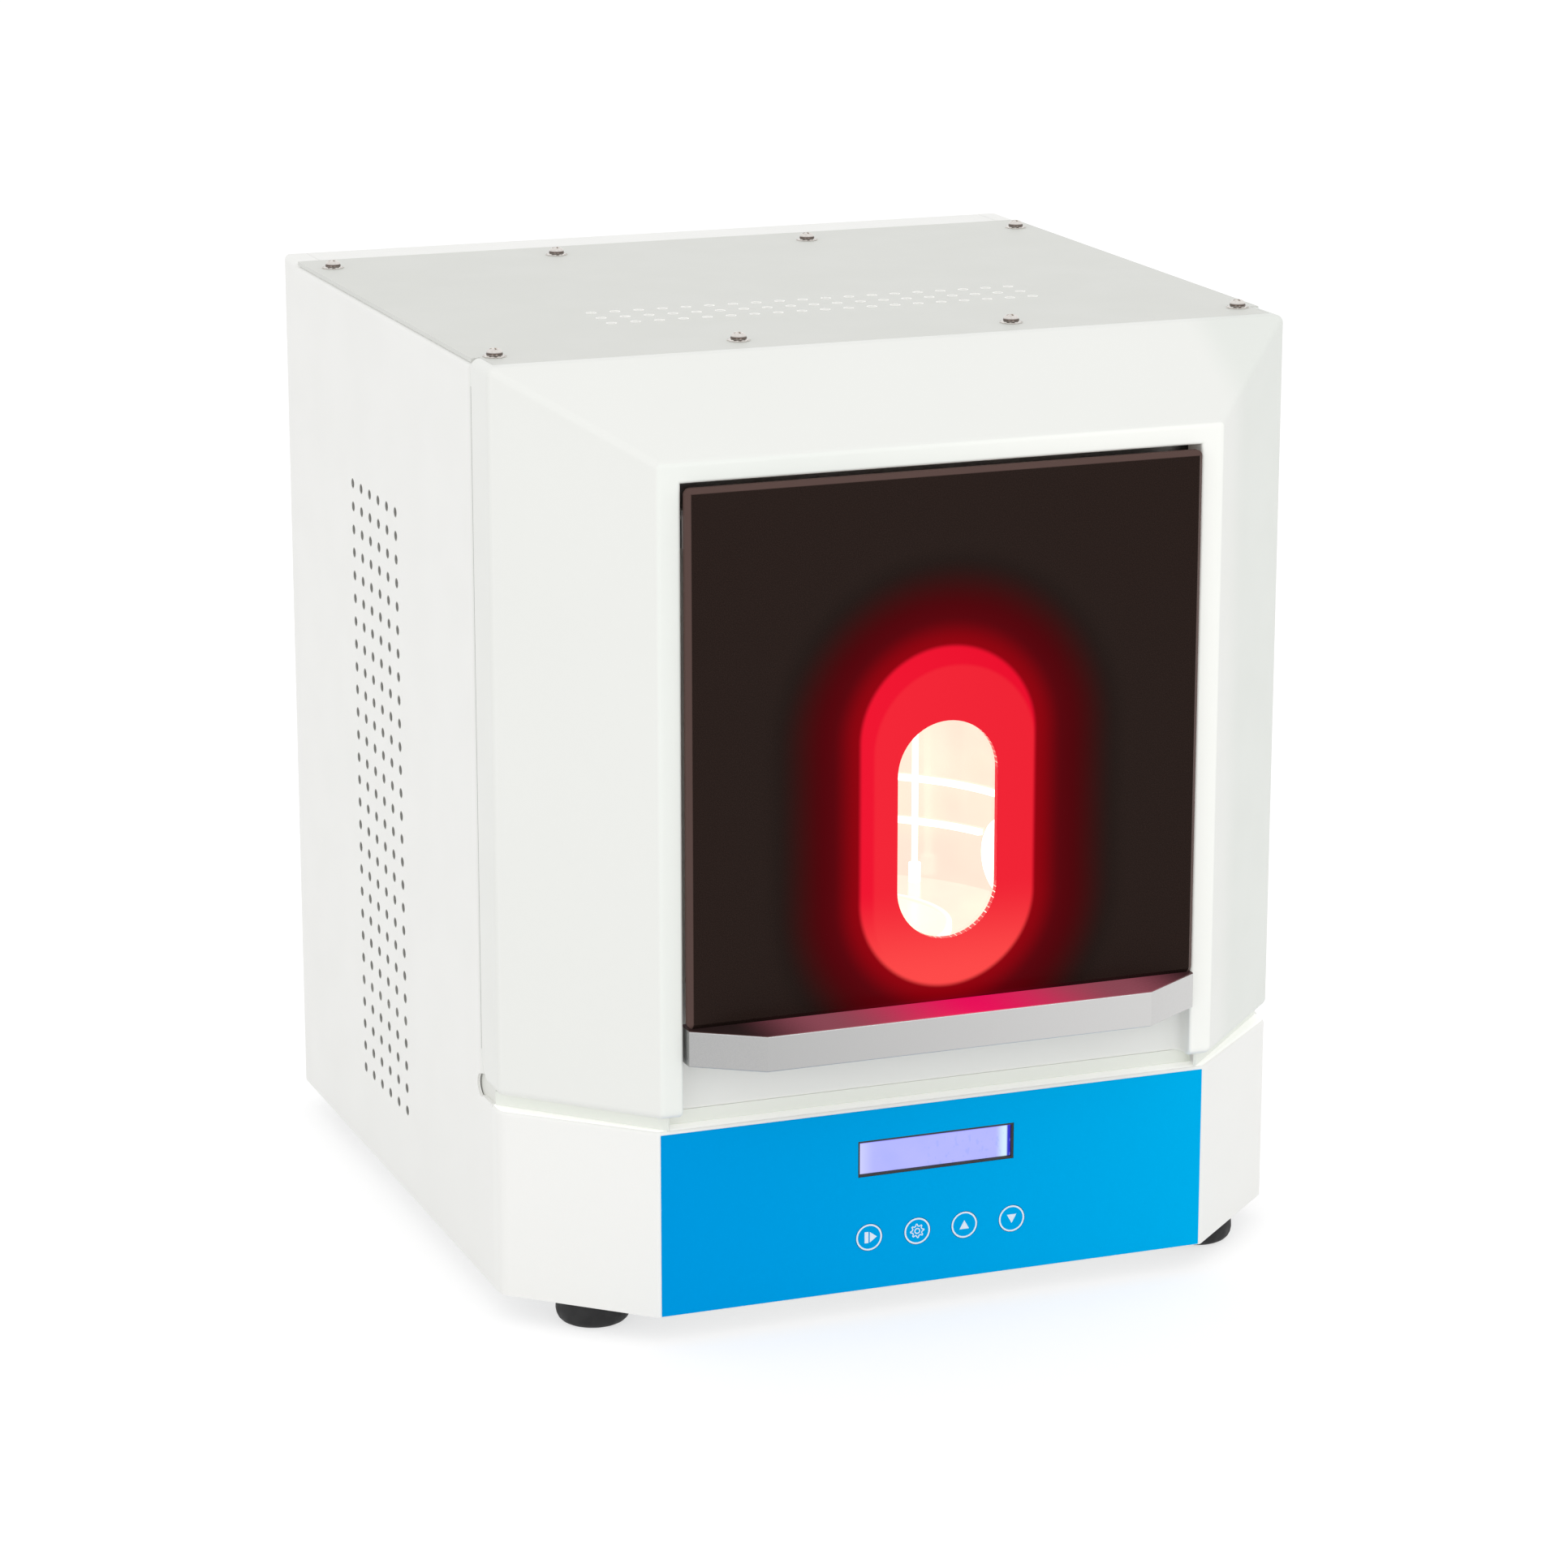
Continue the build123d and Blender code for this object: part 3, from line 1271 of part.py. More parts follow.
# ---------------------------------------------------------------- write every node
def main():
    os.makedirs("parts", exist_ok=True)
    right_side = make_side_panel()
    write("side_panel_right", right_side)
    write("side_panel_left", mirrored(right_side))
    write("base_front", make_base_front())
    write("base_pan", make_base_pan())
    write("deck_plate", make_deck())
    write("back_panel", make_back_panel())
    write("top_cover", make_top_cover())
    write("cover_screws", Compound([make_cover_screw(x, y) for x, y in cover_screw_places()]))
    write("front_bezel", make_bezel())
    write("hinge_bush_left", make_hinge_bush(-1))
    write("hinge_bush_right", make_hinge_bush(1))
    write("door_panel", make_door_panel())
    write("window_pane", make_window_pane())
    write("door_frame", make_door_frame())
    write("door_liner", make_door_liner())
    write("door_seal", make_door_seal())
    write("hinge_pins", make_hinge_pins())
    write("handle_bar", make_handle())
    write("handle_screws", make_handle_screws())
    write("catch_plates", make_catch_plates())
    write("catch_magnets", make_magnets())
    write("chamber_wall", make_chamber_wall())
    write("chamber_floor", make_chamber_floor())
    write("chamber_ceiling", make_chamber_ceiling())
    write("chamber_front", make_chamber_front())
    write("pedestal", make_pedestal())
    write("light_band_lower", make_light_band(band_lower_rise, lamp_back_y() + band_start_gap))
    write("light_band_upper", make_light_band(band_lower_rise + band_spacing, chamber_axis_y))
    write("light_tube_right", make_light_tube(tube_angles[0]))
    write("light_tube_left", make_light_tube(tube_angles[1]))
    write("side_lamp_left", make_side_lamp(-1))
    write("side_lamp_right", make_side_lamp(1))
    write("turntable_disc", make_turntable())
    write("turntable_shaft", make_turntable_shaft())
    write("turntable_motor", make_motor())
    write("control_label", make_label())
    write("lcd_frame", make_lcd_frame())
    write("lcd_glass", make_lcd_glass())
    write("control_board", make_control_board())
    write("key_switches", make_key_switches())
    for name, x in zip(key_names, key_x):
        write(name, make_key(x))
    write("fan_housing", make_fan_housing())
    write("fan_rotor", make_fan_rotor())
    write("fan_guard", make_fan_guard())
    write("fan_screws", make_fan_screws())
    write("mains_inlet", make_inlet())
    write("inlet_pins", make_inlet_pins())
    write("switch_frame", make_switch_frame())
    write("switch_rocker", make_rocker())
    write("power_supply", make_power_supply())
    for (x, y), name in zip(foot_places(), ("front_left", "front_right", "rear_left",
                                            "rear_right")):
        write(f"foot_{name}", make_foot(x, y))
    write("foot_screws", make_foot_screws())


main()
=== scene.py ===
import math

import bmesh
import bpy
from mathutils import Matrix, Vector


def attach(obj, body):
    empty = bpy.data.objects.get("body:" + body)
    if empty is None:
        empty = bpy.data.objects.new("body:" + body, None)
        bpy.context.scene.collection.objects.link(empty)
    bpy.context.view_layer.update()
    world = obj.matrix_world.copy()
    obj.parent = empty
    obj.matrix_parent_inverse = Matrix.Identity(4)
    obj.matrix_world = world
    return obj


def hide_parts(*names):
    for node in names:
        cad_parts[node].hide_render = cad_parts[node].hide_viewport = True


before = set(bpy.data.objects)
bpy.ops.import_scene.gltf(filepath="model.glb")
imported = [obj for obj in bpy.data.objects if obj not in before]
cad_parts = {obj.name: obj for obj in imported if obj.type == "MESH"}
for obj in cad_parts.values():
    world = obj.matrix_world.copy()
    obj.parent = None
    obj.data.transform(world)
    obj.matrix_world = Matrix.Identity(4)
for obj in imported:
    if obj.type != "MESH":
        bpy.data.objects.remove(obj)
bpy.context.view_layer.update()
scene = bpy.context.scene
mm = 0.001

# Places in millimetres, the same as in the cabinet's solids.
fan_z = 303.0
fan_screw_half = 41.25
back_y = 215.0
cover_top = 459.0
chamber_y = -60.0
glow_z = 246.0
glow_half_width = 44.0
glow_half_height = 82.0
door_half = 128.0
door_top = 410.1
door_bevel = 2.5
handle_top = 155.6
chamber_radius = 105.6
chamber_low = 150.8
chamber_high = 398.2
side_face = 200.0
side_front_y = -108.0
base_top = 105.0
bezel_bottom = 112.0
recess_back_y = -183.0
facet_middle = (166.0, -156.9)
facet_turn = 45.5
cover_screw_x = (-188, -69, 69, 188)
cover_screw_y = (-108, 162)
foot_x = 158.0
foot_front_y = -146.0
foot_rear_y = 170.0
vent_columns, vent_rows = 6, 27
vent_rear_y, vent_step_y = 92.0, 14.8
vent_low_z, vent_step_z = 56.8, 11.75
cover_vent_columns, cover_vent_step = 19, 12.1
cover_vent_y = (-42, -26.8, -11.6)
key_face_y = -190.0
key_z = 39.5


# ---------------------------------------------------------------- shapes
def turned(profile, steps):
    """A closed shape turned about Z from (radius, height) points."""
    form = bmesh.new()
    points = [form.verts.new((radius, 0, height)) for radius, height in profile]
    lines = [form.edges.new(pair) for pair in zip(points, points[1:])]
    bmesh.ops.spin(form, geom=points + lines, cent=(0, 0, 0), axis=(0, 0, 1),
                   angle=math.tau, steps=steps, use_merge=True)
    bmesh.ops.remove_doubles(form, verts=form.verts, dist=1e-4)
    return form


def wire_ring(radius, wire, steps=64, sides=10):
    """A ring of round wire about Z."""
    form = bmesh.new()
    section = bmesh.ops.create_circle(form, segments=sides, radius=wire,
                                      matrix=Matrix.Translation((radius, 0, 0))
                                      @ Matrix.Rotation(math.pi / 2, 4, "X"))["verts"]
    edges = list({edge for vert in section for edge in vert.link_edges})
    bmesh.ops.spin(form, geom=section + edges, cent=(0, 0, 0), axis=(0, 0, 1),
                   angle=math.tau, steps=steps, use_merge=True)
    return form


def rod(radius, length, sides=16):
    """A rod along Z, centred on the origin."""
    form = bmesh.new()
    bmesh.ops.create_cone(form, cap_ends=True, segments=sides, radius1=radius, radius2=radius,
                          depth=length)
    return form


def thickened(form, height):
    """Raises a flat form by that height along Z, closed on every side."""
    raised = bmesh.ops.extrude_face_region(form, geom=list(form.faces), use_keep_orig=True)
    verts = [item for item in raised["geom"] if isinstance(item, bmesh.types.BMVert)]
    bmesh.ops.translate(form, verts=verts, vec=(0, 0, height))
    return form


def flat_ring(outer, inner, height, sides=48):
    """A flat ring on the XY plane, raised by its height."""
    form = bmesh.new()
    rims = []
    for radius in (outer, inner):
        verts = bmesh.ops.create_circle(form, segments=sides, radius=radius)["verts"]
        rims += list({edge for vert in verts for edge in vert.link_edges})
    bmesh.ops.bridge_loops(form, edges=rims)
    return thickened(form, height)


def bar_plate(x0, x1, y0, y1, height):
    """A flat rectangular plate, raised by its height."""
    form = bmesh.new()
    bmesh.ops.create_grid(form, x_segments=1, y_segments=1, size=0.5,
                          matrix=Matrix.Translation(((x0 + x1) / 2, (y0 + y1) / 2, 0))
                          @ Matrix.Diagonal((x1 - x0, y1 - y0, 1, 1)))
    return thickened(form, height)


def triangle_plate(width, length, turn, height):
    """A flat triangle whose tip points along +Y before it is turned about Z."""
    form = bmesh.new()
    verts = bmesh.ops.create_circle(form, cap_ends=True, segments=3, radius=1.0)["verts"]
    low = min(vert.co.y for vert in verts)
    high = max(vert.co.y for vert in verts)
    wide = max(vert.co.x for vert in verts)
    for vert in verts:
        vert.co.x *= width / 2 / wide
        vert.co.y = ((vert.co.y - low) / (high - low) - 0.5) * length
    bmesh.ops.rotate(form, verts=form.verts, cent=(0, 0, 0),
                     matrix=Matrix.Rotation(math.radians(turn), 3, "Z"))
    return thickened(form, height)


def gear_plate(tip, root, line, height, teeth=8):
    """The outline of a toothed wheel, as wide as its line."""
    form = bmesh.new()
    verts = bmesh.ops.create_circle(form, cap_ends=True, segments=teeth * 4, radius=root)["verts"]
    for number, vert in enumerate(verts):
        if number % 4 in (0, 1):
            vert.co *= tip / root
    face = list(form.faces)[0]
    bmesh.ops.inset_region(form, faces=[face], thickness=line, use_boundary=True,
                           use_even_offset=True)
    bmesh.ops.delete(form, geom=[face], context="FACES_ONLY")
    return thickened(form, height)


def pan_head(radius, height, slot_reach, slot_half, slot_depth, steps=32):
    """A domed screw head with a cross recess, its seat on the XY plane."""
    form = turned([(0, height), (0.30 * radius, 0.985 * height), (0.56 * radius, 0.91 * height),
                   (0.78 * radius, 0.74 * height), (0.92 * radius, 0.49 * height),
                   (radius, 0.18 * height), (radius, 0), (0, 0)], steps)
    for axis in ((1, 0, 0), (0, 1, 0)):
        for place in (slot_reach, slot_half, -slot_half, -slot_reach):
            geometry = list(form.verts) + list(form.edges) + list(form.faces)
            bmesh.ops.bisect_plane(form, geom=geometry, dist=1e-5,
                                   plane_co=[place * part for part in axis], plane_no=axis)
    bmesh.ops.recalc_face_normals(form, faces=form.faces)
    cross = []
    for face in form.faces:
        middle = face.calc_center_median()
        across, along = sorted((abs(middle.x), abs(middle.y)))
        if face.normal.z > 0.2 and across < slot_half and along < slot_reach:
            cross.append(face)
    sunk = bmesh.ops.extrude_face_region(form, geom=cross)
    floor = [item for item in sunk["geom"] if isinstance(item, bmesh.types.BMVert)]
    bmesh.ops.delete(form, geom=cross, context="FACES")
    for vert in floor:
        vert.co.z = height - slot_depth
        vert.co.xy *= 0.8
    return form


def star_washer(radius, height, teeth=12):
    """A dished washer with teeth round its edge."""
    form = turned([(0.55 * radius, height), (0.78 * radius, 0.8 * height),
                   (radius, 0.42 * height), (radius, 0.12 * height), (0.97 * radius, 0),
                   (0.55 * radius, 0), (0.55 * radius, height)], teeth * 4)
    for vert in form.verts:
        turn = math.degrees(math.atan2(vert.co.y, vert.co.x)) * teeth / 90
        if vert.co.xy.length > 0.9 * radius and round(turn) % 4 in (0, 1):
            vert.co.xy *= 0.86
    return form


def pattern(places):
    """One bmesh holding each (form, matrix) pair's shape at its place. Forms may repeat."""
    whole = bmesh.new()
    kept = {}
    for form, place in places:
        if id(form) not in kept:
            kept[id(form)] = bpy.data.meshes.new("pattern")
            form.to_mesh(kept[id(form)])
        first = len(whole.verts)
        whole.from_mesh(kept[id(form)])
        whole.verts.ensure_lookup_table()
        bmesh.ops.transform(whole, matrix=place, verts=whole.verts[first:])
    for mesh in kept.values():
        bpy.data.meshes.remove(mesh)
    return whole


def upright(x, y, z):
    """A shape drawn in millimetres about Z, set down at a point."""
    return Matrix.Translation((x * mm, y * mm, z * mm)) @ Matrix.Scale(mm, 4)


def facing_front(x, y, z):
    """Local X to the right, Y up and Z towards the front."""
    return upright(x, y, z) @ Matrix.Rotation(math.pi / 2, 4, "X")


def facing_back(x, y, z):
    return upright(x, y, z) @ Matrix.Rotation(math.pi, 4, "Z") @ Matrix.Rotation(math.pi / 2, 4, "X")


def facing_side(x, y, z, side):
    return upright(x, y, z) @ Matrix.Rotation(side * math.pi / 2, 4, "Y")


def piece(name, form, body, finish, replaces=(), sharp=38):
    """Makes a shape a piece of the object: smooth, with sharp edges kept, riding on a body."""
    bmesh.ops.recalc_face_normals(form, faces=form.faces)
    for face in form.faces:
        face.smooth = True
    for edge in form.edges:
        edge.smooth = edge.is_manifold and edge.calc_face_angle(0) < math.radians(sharp)
    mesh = bpy.data.meshes.new(name)
    form.to_mesh(mesh)
    form.free()
    mesh.materials.append(finish)
    made = bpy.data.objects.new(name, mesh)
    scene.collection.objects.link(made)
    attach(made, body)
    if replaces:
        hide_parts(*replaces)


# ---------------------------------------------------------------- finishes
def tone(red, green, blue):
    """A colour given as it shows on a screen, 0 to 255, as the renderer needs it."""
    parts = [part / 255 for part in (red, green, blue)]
    return tuple(part / 12.92 if part <= 0.04045 else ((part + 0.055) / 1.055) ** 2.4
                 for part in parts) + (1.0,)


class Finish:
    """A procedural material: one Principled shader, and short ways to add nodes to it."""

    def __init__(self, name, **sockets):
        self.material = bpy.data.materials.new(name)
        self.material.use_nodes = True
        self.tree = self.material.node_tree
        self.shader = self.tree.nodes["Principled BSDF"]
        for socket, value in sockets.items():
            self.shader.inputs[socket.replace("_", " ")].default_value = value
        self.place = self.add("ShaderNodeTexCoord").outputs["Object"]

    def set(self, node, socket, value):
        if isinstance(value, bpy.types.NodeSocket):
            self.tree.links.new(value, node.inputs[socket])
        else:
            node.inputs[socket].default_value = value

    def add(self, kind, inputs=None, **settings):
        node = self.tree.nodes.new(kind)
        for name, value in settings.items():
            setattr(node, name, value)
        for socket, value in (inputs or {}).items():
            self.set(node, socket, value)
        return node

    def sum(self, operation, *values):
        """One arithmetic step on numbers or sockets."""
        return self.add("ShaderNodeMath", dict(enumerate(values)),
                        operation=operation).outputs[0]

    def noise(self, scale, detail=2.0, stretch=(1, 1, 1)):
        """Noise whose grain is about 1/scale metres, finer along a stretched axis."""
        spread = self.add("ShaderNodeMapping", {"Vector": self.place, "Scale": stretch})
        return self.add("ShaderNodeTexNoise", {"Vector": spread.outputs[0], "Scale": scale,
                                               "Detail": detail}).outputs["Fac"]

    def cells(self, scale):
        """Small areas, each of its own colour."""
        return self.add("ShaderNodeTexVoronoi", {"Vector": self.place, "Scale": scale}
                        ).outputs["Color"]

    def span(self, value, low, high, to_low=0.0, to_high=1.0, smooth=True):
        """Maps a value's span onto another, held at both ends."""
        return self.add("ShaderNodeMapRange", {
            "Value": value, "From Min": low, "From Max": high, "To Min": to_low,
            "To Max": to_high}, interpolation_type="SMOOTHSTEP" if smooth else "LINEAR").outputs[0]

    def blend(self, share, first, second, mode="MIX"):
        """A colour between two, by a share from 0 to 1."""
        node = self.tree.nodes.new("ShaderNodeMix")
        node.data_type = "RGBA"
        node.blend_type = mode
        for socket, value in ((0, share), (6, first), (7, second)):
            self.set(node, socket, value)
        return node.outputs[2]

    def paint(self, colour):
        self.set(self.shader, "Base Color", colour)

    def glow(self, colour):
        self.set(self.shader, "Emission Color", colour)

    def gloss(self, grain, low, high):
        self.set(self.shader, "Roughness", self.span(grain, 0.3, 0.7, low, high))

    def bump(self, height, strength, distance):
        """Adds a surface relief. Each call goes over the last one."""
        below = self.shader.inputs["Normal"]
        node = self.add("ShaderNodeBump", {"Height": height, "Strength": strength,
                                           "Distance": distance})
        if below.is_linked:
            self.tree.links.new(below.links[0].from_socket, node.inputs["Normal"])
        self.tree.links.new(node.outputs[0], below)

    def along(self, axis):
        """The place along X, Y or Z, in metres."""
        return self.add("ShaderNodeSeparateXYZ", {0: self.place}).outputs["XYZ".index(axis)]

    def stadium(self, x, z, half_width, half_height):
        """Distance in metres outside a round-ended outline that stands on the XZ plane."""
        across = self.sum("SUBTRACT", self.along("X"), x * mm)
        up = self.sum("ABSOLUTE", self.sum("SUBTRACT", self.along("Z"), z * mm))
        beyond = self.sum("MAXIMUM", self.sum("SUBTRACT", up, (half_height - half_width) * mm), 0)
        reach = self.sum("SQRT", self.sum("ADD", self.sum("POWER", across, 2),
                                          self.sum("POWER", beyond, 2)))
        return self.sum("SUBTRACT", reach, half_width * mm)


def powder_coat(name, colour, grain=900, relief=0.12, low=0.36, high=0.46, painted_glow=0.0, above=0.0):
    """Painted sheet: an even colour that clouds a little, with a fine orange-peel relief.
    Above a height it can be given a painted glow: painted light that stands in for the light coming
    back to it from close white faces."""
    coat = Finish(name)
    # Painted light: a glow in the coat's own colour above the given height.
    if painted_glow:
        glow_zone = coat.sum("GREATER_THAN", coat.along("Z"), above)
        coat.glow(coat.blend(glow_zone, (0, 0, 0, 1), colour))
        coat.shader.inputs["Emission Strength"].default_value = painted_glow
    light = coat.blend(coat.noise(9, 3), [part * 0.985 for part in colour[:3]] + [1],
                       [min(1, part * 1.012) for part in colour[:3]] + [1])
    coat.paint(coat.blend(coat.span(coat.noise(grain * 2.2, 1), 0.35, 0.75, 0, 0.035), light,
                          [part * 0.8 for part in colour[:3]] + [1]))
    coat.gloss(coat.noise(30, 3), low, high)
    coat.bump(coat.noise(grain, 2), relief, 0.00008)
    return coat.material


def bare_metal(name, colour, low, high, stretch=(1, 1, 1), grain=600, relief=0.05):
    """Metal with a drawn or brushed grain along the axis that is stretched least."""
    metal = Finish(name, Metallic=1.0)
    lines = metal.noise(grain, 4, stretch)
    metal.paint(metal.blend(metal.span(lines, 0.3, 0.7), [part * 0.86 for part in colour[:3]] + [1],
                            colour))
    metal.gloss(lines, low, high)
    metal.bump(lines, relief, 0.00005)
    return metal.material


def moulded(name, colour, low=0.4, high=0.55, grain=1400, relief=0.2, specular=0.5):
    """Moulded plastic or rubber with a fine spark-eroded grain."""
    plastic = Finish(name)
    plastic.shader.inputs["Specular IOR Level"].default_value = specular
    clouds = plastic.blend(plastic.noise(40, 3), [part * 0.88 for part in colour[:3]] + [1], colour)
    plastic.paint(clouds)
    plastic.gloss(plastic.noise(220, 2), low, high)
    plastic.bump(plastic.noise(grain, 2), relief, 0.00006)
    return plastic.material


white_coat = powder_coat("white_coat", tone(242, 242, 239))
# Painted light: the base's top deck, above its top edge, glows to lift it out of the shade under the
# bezel.
base_coat_and_painted_glow = powder_coat("base_coat_and_painted_glow", tone(244, 244, 241), painted_glow=0.30,
                         above=(base_top - 0.3) * mm)
# Painted shade: a mid-grey for the sleeves in the side vent holes, standing in for the shade in the
# holes.
vent_shade_coat = powder_coat("vent_shade_coat", tone(176, 176, 171))
# Painted light: a pale coat with a faint glow for the lips that fill the shaded gap under the bezel.
gap_glow_coat = powder_coat("gap_glow_coat", tone(226, 229, 222), painted_glow=0.06)
# Painted light: white with a glow, for the walls of the top vent holes, standing in for their lit far
# sides.
vent_lip_glow_coat = powder_coat("vent_lip_glow_coat", tone(250, 250, 246), painted_glow=0.16)
tab_coat = powder_coat("tab_coat", tone(226, 227, 221))
# Painted shade: the top cover is greyer than the side panels, standing in for the top's darker look
# under this light.
cover_coat_and_painted_shade = powder_coat("cover_coat_and_painted_shade", tone(218, 219, 214), relief=0.16, low=0.5, high=0.6)


def bezel_paint_and_light():
    """Painted plastic of the bezel, with painted light and shade: brightest on the flat beside the
    door's right edge, lighter towards it from the left, and darker on the right-hand facet.
    """
    coat = Finish("bezel_coat_and_painted_light")
    across = coat.along("X")
    # Painted shade: the right-hand facet is darker.
    colour = coat.blend(coat.span(across, 0.145, 0.165), tone(237, 238, 234), tone(229, 232, 227))
    # Painted light: the flat front lightens from left to right, brightest beside the door's right
    # edge.
    flat = coat.blend(coat.span(across, -0.09, 0.11), tone(239, 242, 237), tone(251, 252, 247))
    colour = coat.blend(coat.span(coat.along("Y"), -0.1948, -0.1942, 1, 0), colour, flat)
    clouds = coat.blend(coat.noise(9, 3), (0.97, 0.97, 0.97, 1), (1, 1, 1, 1))
    coat.paint(coat.blend(1.0, colour, clouds, "MULTIPLY"))
    coat.gloss(coat.noise(30, 3), 0.36, 0.46)
    coat.bump(coat.noise(650, 2), 0.08, 0.00008)
    return coat.material


bezel_coat_and_painted_light = bezel_paint_and_light()


def zinc_sheet():
    """Zinc-coated sheet with its spangle."""
    zinc = Finish("zinc_spangle", Metallic=0.85)
    flakes = zinc.cells(160)
    grey = zinc.add("ShaderNodeRGBToBW", {0: flakes}).outputs[0]
    zinc.paint(zinc.blend(grey, tone(176, 180, 182), tone(205, 208, 208)))
    zinc.gloss(grey, 0.35, 0.55)
    zinc.bump(zinc.noise(900, 2), 0.1, 0.00005)
    return zinc.material


def dark_door():
    """Deep brown tinted sheet. The light from behind that shows through it round the round-ended
    opening is painted on as a red glow, and its bevelled edge carries a painted highlight.
    """
    door = Finish("dark_door")
    door.shader.inputs["Specular IOR Level"].default_value = 0.02
    speckle = door.noise(2600, 1)
    brown = door.blend(door.span(speckle, 0.35, 0.75), tone(34, 25, 22), tone(50, 38, 34))
    door.gloss(door.noise(60, 2), 0.16, 0.26)
    door.bump(speckle, 0.05, 0.00004)
    # Painted highlight: a lighter brown band on the bevel round the sides and top, where the edge
    # would catch the light.
    beside = door.sum("SUBTRACT", door.sum("ABSOLUTE", door.along("X")),
                      (door_half - door_bevel) * mm)
    above = door.sum("SUBTRACT", door.along("Z"), (door_top - door_bevel) * mm)
    rim = door.span(door.sum("MAXIMUM", beside, above), 0.0, 0.0005)
    brown = door.blend(rim, brown, tone(80, 63, 59))
    # Painted light: near black under the glow, then a red glow with a fading halo round the opening,
    # brighter low down and towards an inner outline, standing in for the chamber's light showing
    # through the sheet.
    outside = door.stadium(0, glow_z, glow_half_width, glow_half_height)
    door.paint(door.blend(door.span(outside, 0.016, 0.050), (0.001, 0.0, 0.0, 1), brown))
    halo = door.blend(door.span(outside, 0.0, 0.014), tone(144, 0, 12), tone(90, 2, 10))
    halo = door.blend(door.span(outside, 0.008, 0.042), halo, (0, 0, 0, 1))
    low = door.span(door.along("Z"), 0.166, 0.215, 1, 0)
    side = door.span(door.along("X"), -0.044, 0.044)
    core = door.blend(side, tone(241, 20, 48), tone(236, 12, 44))
    core = door.blend(low, core, tone(254, 76, 74))
    inner = door.stadium(3.5, glow_z - 6, glow_half_width - 4, glow_half_height - 4)
    core = door.blend(door.span(inner, -0.001, 0.0015, 0.22, 0), core, tone(255, 70, 72))
    shine = door.blend(door.span(outside, -0.0018, 0.0012), core, halo)
    # The bevel band also gets a faint brown glow: painted light that lifts it out of the shade of the
    # reveal.
    door.glow(door.blend(rim, shine, tone(42, 32, 30)))
    door.shader.inputs["Emission Strength"].default_value = 1.0
    return door.material


def clear_window():
    """Clear sheet in the door, with a faint haze."""
    pane = Finish("clear_window", Roughness=0.0, IOR=1.49, Transmission_Weight=1.0)
    pane.paint(pane.blend(pane.noise(50, 2), tone(255, 250, 242), tone(255, 254, 250)))
    return pane.material


def lit_liner(name, strength):
    """Polished chamber sheet. Its inside is painted bright with a cream glow, paler higher up and
    mottled, that stands in for the light filling the chamber.
    """
    liner = Finish(name, Metallic=0.8)
    behind = liner.sum("MAXIMUM", liner.sum("SUBTRACT", liner.along("Y"), chamber_y * mm), 0)
    reach = liner.sum("SQRT", liner.sum("ADD", liner.sum("POWER", liner.along("X"), 2),
                                        liner.sum("POWER", behind, 2)))
    height = liner.along("Z")
    inside = liner.sum("MULTIPLY", liner.sum("LESS_THAN", reach, chamber_radius * mm),
                       liner.sum("GREATER_THAN", height, chamber_low * mm))
    inside = liner.sum("MULTIPLY", inside, liner.sum("LESS_THAN", height, chamber_high * mm))
    cream = liner.blend(liner.span(height, 0.16, 0.28), tone(255, 234, 218), tone(255, 242, 224))
    cream = liner.blend(liner.span(liner.noise(16, 3), 0.35, 0.7), cream, tone(253, 222, 210))
    liner.paint(liner.blend(inside, tone(150, 152, 152), tone(118, 106, 98)))
    # Painted light: the cream glow on the inside of the chamber.
    liner.glow(liner.blend(inside, (0, 0, 0, 1), cream))
    liner.shader.inputs["Emission Strength"].default_value = strength
    liner.gloss(liner.noise(45, 3, (1, 1, 0.15)), 0.12, 0.24)
    liner.bump(liner.noise(50, 2), 0.03, 0.0003)
    return liner.material


def lit_table():
    """Polished turntable with a painted glow that stands in for the chamber's light on it, and a
    painted highlight, the brightest, on its rim.
    """
    table = Finish("table_steel", Metallic=0.6, Roughness=0.25)
    table.paint(table.blend(table.noise(30, 2), tone(150, 142, 130), tone(176, 168, 156)))
    top = table.blend(table.noise(18, 2), tone(255, 240, 214), tone(255, 248, 228))
    behind = table.sum("SUBTRACT", table.along("Y"), chamber_y * mm)
    reach = table.sum("SQRT", table.sum("ADD", table.sum("POWER", table.along("X"), 2),
                                        table.sum("POWER", behind, 2)))
    # Painted highlight: pure white on the rim, over the painted glow.
    table.glow(table.blend(table.span(reach, 0.0528, 0.0545), top, (1, 1, 1, 1)))
    table.shader.inputs["Emission Strength"].default_value = 0.85
    return table.material


def door_lining_sheet():
    """Bright sheet that lines the doorway behind the door, with a faint painted glow standing in for
    the chamber's light on it.
    """
    liner = Finish("door_lining_and_painted_glow", Metallic=0.8)
    liner.paint(liner.blend(liner.noise(40, 2), tone(170, 160, 150), tone(196, 184, 172)))
    liner.glow(liner.blend(liner.noise(20, 2), tone(255, 216, 200), tone(255, 232, 214)))
    liner.shader.inputs["Emission Strength"].default_value = 0.25
    liner.gloss(liner.noise(60, 2), 0.2, 0.3)
    return liner.material


def lamp_glow(name, colour, strength):
    """Frosted cover of a lamp, slightly cloudy."""
    lamp = Finish(name, Roughness=0.4)
    lamp.paint(tone(250, 246, 236))
    lamp.glow(lamp.blend(lamp.noise(80, 2), colour, [min(1, part * 1.05) for part in colour[:3]]
                         + [1]))
    lamp.shader.inputs["Emission Strength"].default_value = strength
    return lamp.material


